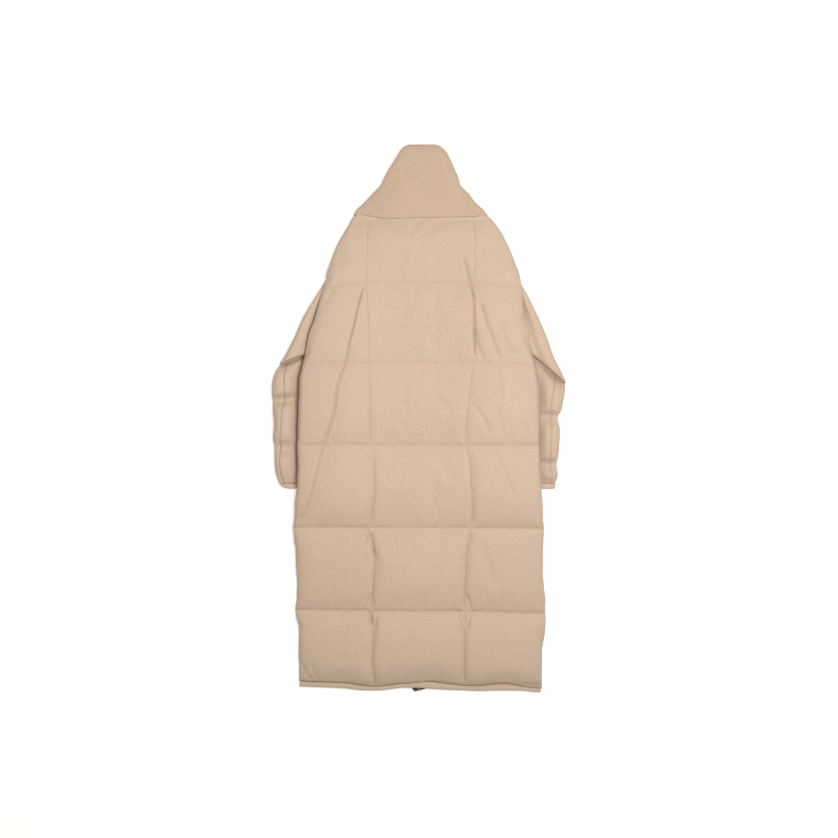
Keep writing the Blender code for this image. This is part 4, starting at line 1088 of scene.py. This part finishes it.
# %% Metal and moulded teeth
def plain_material(name, colour, roughness, metallic, grain):
    made = bpy.data.materials.new(name)
    made.use_nodes = True
    tree = made.node_tree
    shader = tree.nodes["Principled BSDF"]
    place = node(tree, "ShaderNodeTexCoord").outputs["Object"]
    specks = node(tree, "ShaderNodeTexNoise", {"Vector": place, "Scale": grain, "Detail": 3.0})
    tone = node(
        tree,
        "ShaderNodeMix",
        {0: specks.outputs[0], 6: (*[c * 0.85 for c in colour], 1.0), 7: (*[c * 1.15 for c in colour], 1.0)},
        data_type="RGBA",
    )
    rough = node(
        tree,
        "ShaderNodeMapRange",
        {"Value": specks.outputs[0], "To Min": roughness * 0.85, "To Max": roughness * 1.15},
    )
    tree.links.new(tone.outputs[2], shader.inputs["Base Color"])
    tree.links.new(rough.outputs[0], shader.inputs["Roughness"])
    shader.inputs["Metallic"].default_value = metallic
    return made


zip_metal = plain_material("zip_metal", (0.30, 0.20, 0.13), 0.35, 1.0, 900.0)
zip_plastic = plain_material("zip_teeth", (0.16, 0.09, 0.05), 0.5, 0.0, 700.0)
FINISH = {"zip_slider": zip_metal, "zip_pull": zip_metal}
for name, finish in FINISH.items():
    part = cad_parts[name]
    part.data.materials.clear()
    part.data.materials.append(finish)

# %% The tapes
TAPE_END = np.array([  # x, y
    (-0.0165, -0.664), (-0.01, -0.6705), (-0.0035, -0.669), (0.0035, -0.667), (0.0165, -0.6636),
])  # fmt: skip


def tape(which):
    node_name, below = "zip_tape_" + which, "front_" + which
    low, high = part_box(node_name)
    xs = np.linspace(low[0], high[0], 14)
    ends = np.interp(xs, TAPE_END[:, 0], TAPE_END[:, 1])
    t = np.concatenate([np.linspace(0.0, 0.985, 110), [0.992, 0.997, 1.0]])[:, None]
    y = high[1] + (ends - high[1]) * t
    share = np.abs(xs - (low[0] + high[0]) / 2) / ((high[0] - low[0]) / 2)
    thick = 0.32 * MM + 0.18 * MM * np.exp(-(((share - 0.88) / 0.08) ** 2))
    middle = (low[2] + high[2]) / 2 + 0.12 * MM * np.sin(y * 260)
    outer, inner = (np.dstack([np.broadcast_to(xs, y.shape), y, middle + way * thick]) for way in (1, -1))
    return padded_piece(node_name + "_cloth", outer, inner, tape_cloth, [node_name])


tape("left")
tape("right")


# %% The box at the end of the zip
def zip_box(half=4.2 * MM, top=-0.6570, bottom=-0.6682, thick=1.5 * MM):
    """A small moulded box with rounded corners and edges, round the ends of both tapes."""
    low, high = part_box("zip_tape_left")
    middle = (low[2] + high[2]) / 2
    turn = np.linspace(0, 2 * math.pi, 33)[:-1]
    round_x, round_y = (np.sign(f(turn)) * np.abs(f(turn)) ** 0.45 for f in (np.cos, np.sin))
    levels = [(-1.0, 0.80), (-0.8, 0.94), (-0.4, 1.0), (0.4, 1.0), (0.8, 0.94), (1.0, 0.80)]
    points, faces = [], []
    for z, wide in levels:
        across, tall, level = half * wide, (top - bottom) / 2 - half * (1 - wide), middle + z * thick
        points += [(across * cx, (top + bottom) / 2 + tall * cy, level) for cx, cy in zip(round_x, round_y)]
    for k in range(len(levels) - 1):
        for j in range(32):
            a, b = 32 * k + j, 32 * k + (j + 1) % 32
            faces.append((a, b, b + 32, a + 32))
    faces += [tuple(range(32))[::-1], tuple(range(32 * (len(levels) - 1), 32 * len(levels)))]
    return add_piece("zip_box", points, faces, zip_plastic, smooth=False)


zip_box()

# %% The teeth
TOOTH_PITCH = 2.5 * MM
TOOTH = [  # the outline of one tooth: x in steps of 1 mm, y in steps of 2 mm
    (-0.2, -0.3), (2.6, -0.45), (3.1, -0.2), (3.1, 0.2), (2.6, 0.45), (-0.2, 0.3), (-0.9, 0.42),
    (-0.9, -0.42),
]  # fmt: skip


def teeth():
    low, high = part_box("zip_chain")
    middle_z = (low[2] + high[2]) / 2
    points, faces = [], []
    count = int((high[1] - low[1]) / TOOTH_PITCH)
    sides = len(TOOTH)
    for k in range(count):
        y = low[1] + (k + 0.5) * TOOTH_PITCH
        hand = 1 if k % 2 else -1
        first = len(points)
        for z in (-1.25, 1.25):
            points += [(hand * px * MM, y + py * 2 * MM, middle_z + z * MM) for px, py in TOOTH]
        top = tuple(range(first + sides, first + 2 * sides))
        bottom = tuple(range(first, first + sides))[::-1]
        pairs = [(first + j, first + (j + 1) % sides) for j in range(sides)]
        rings = [top, bottom, *[(a, b, b + sides, a + sides) for a, b in pairs]]
        faces += rings if hand > 0 else [ring[::-1] for ring in rings]
    print(count, "teeth")
    return add_piece("zip_teeth", points, faces, zip_plastic, ["zip_chain"], smooth=False)


teeth()
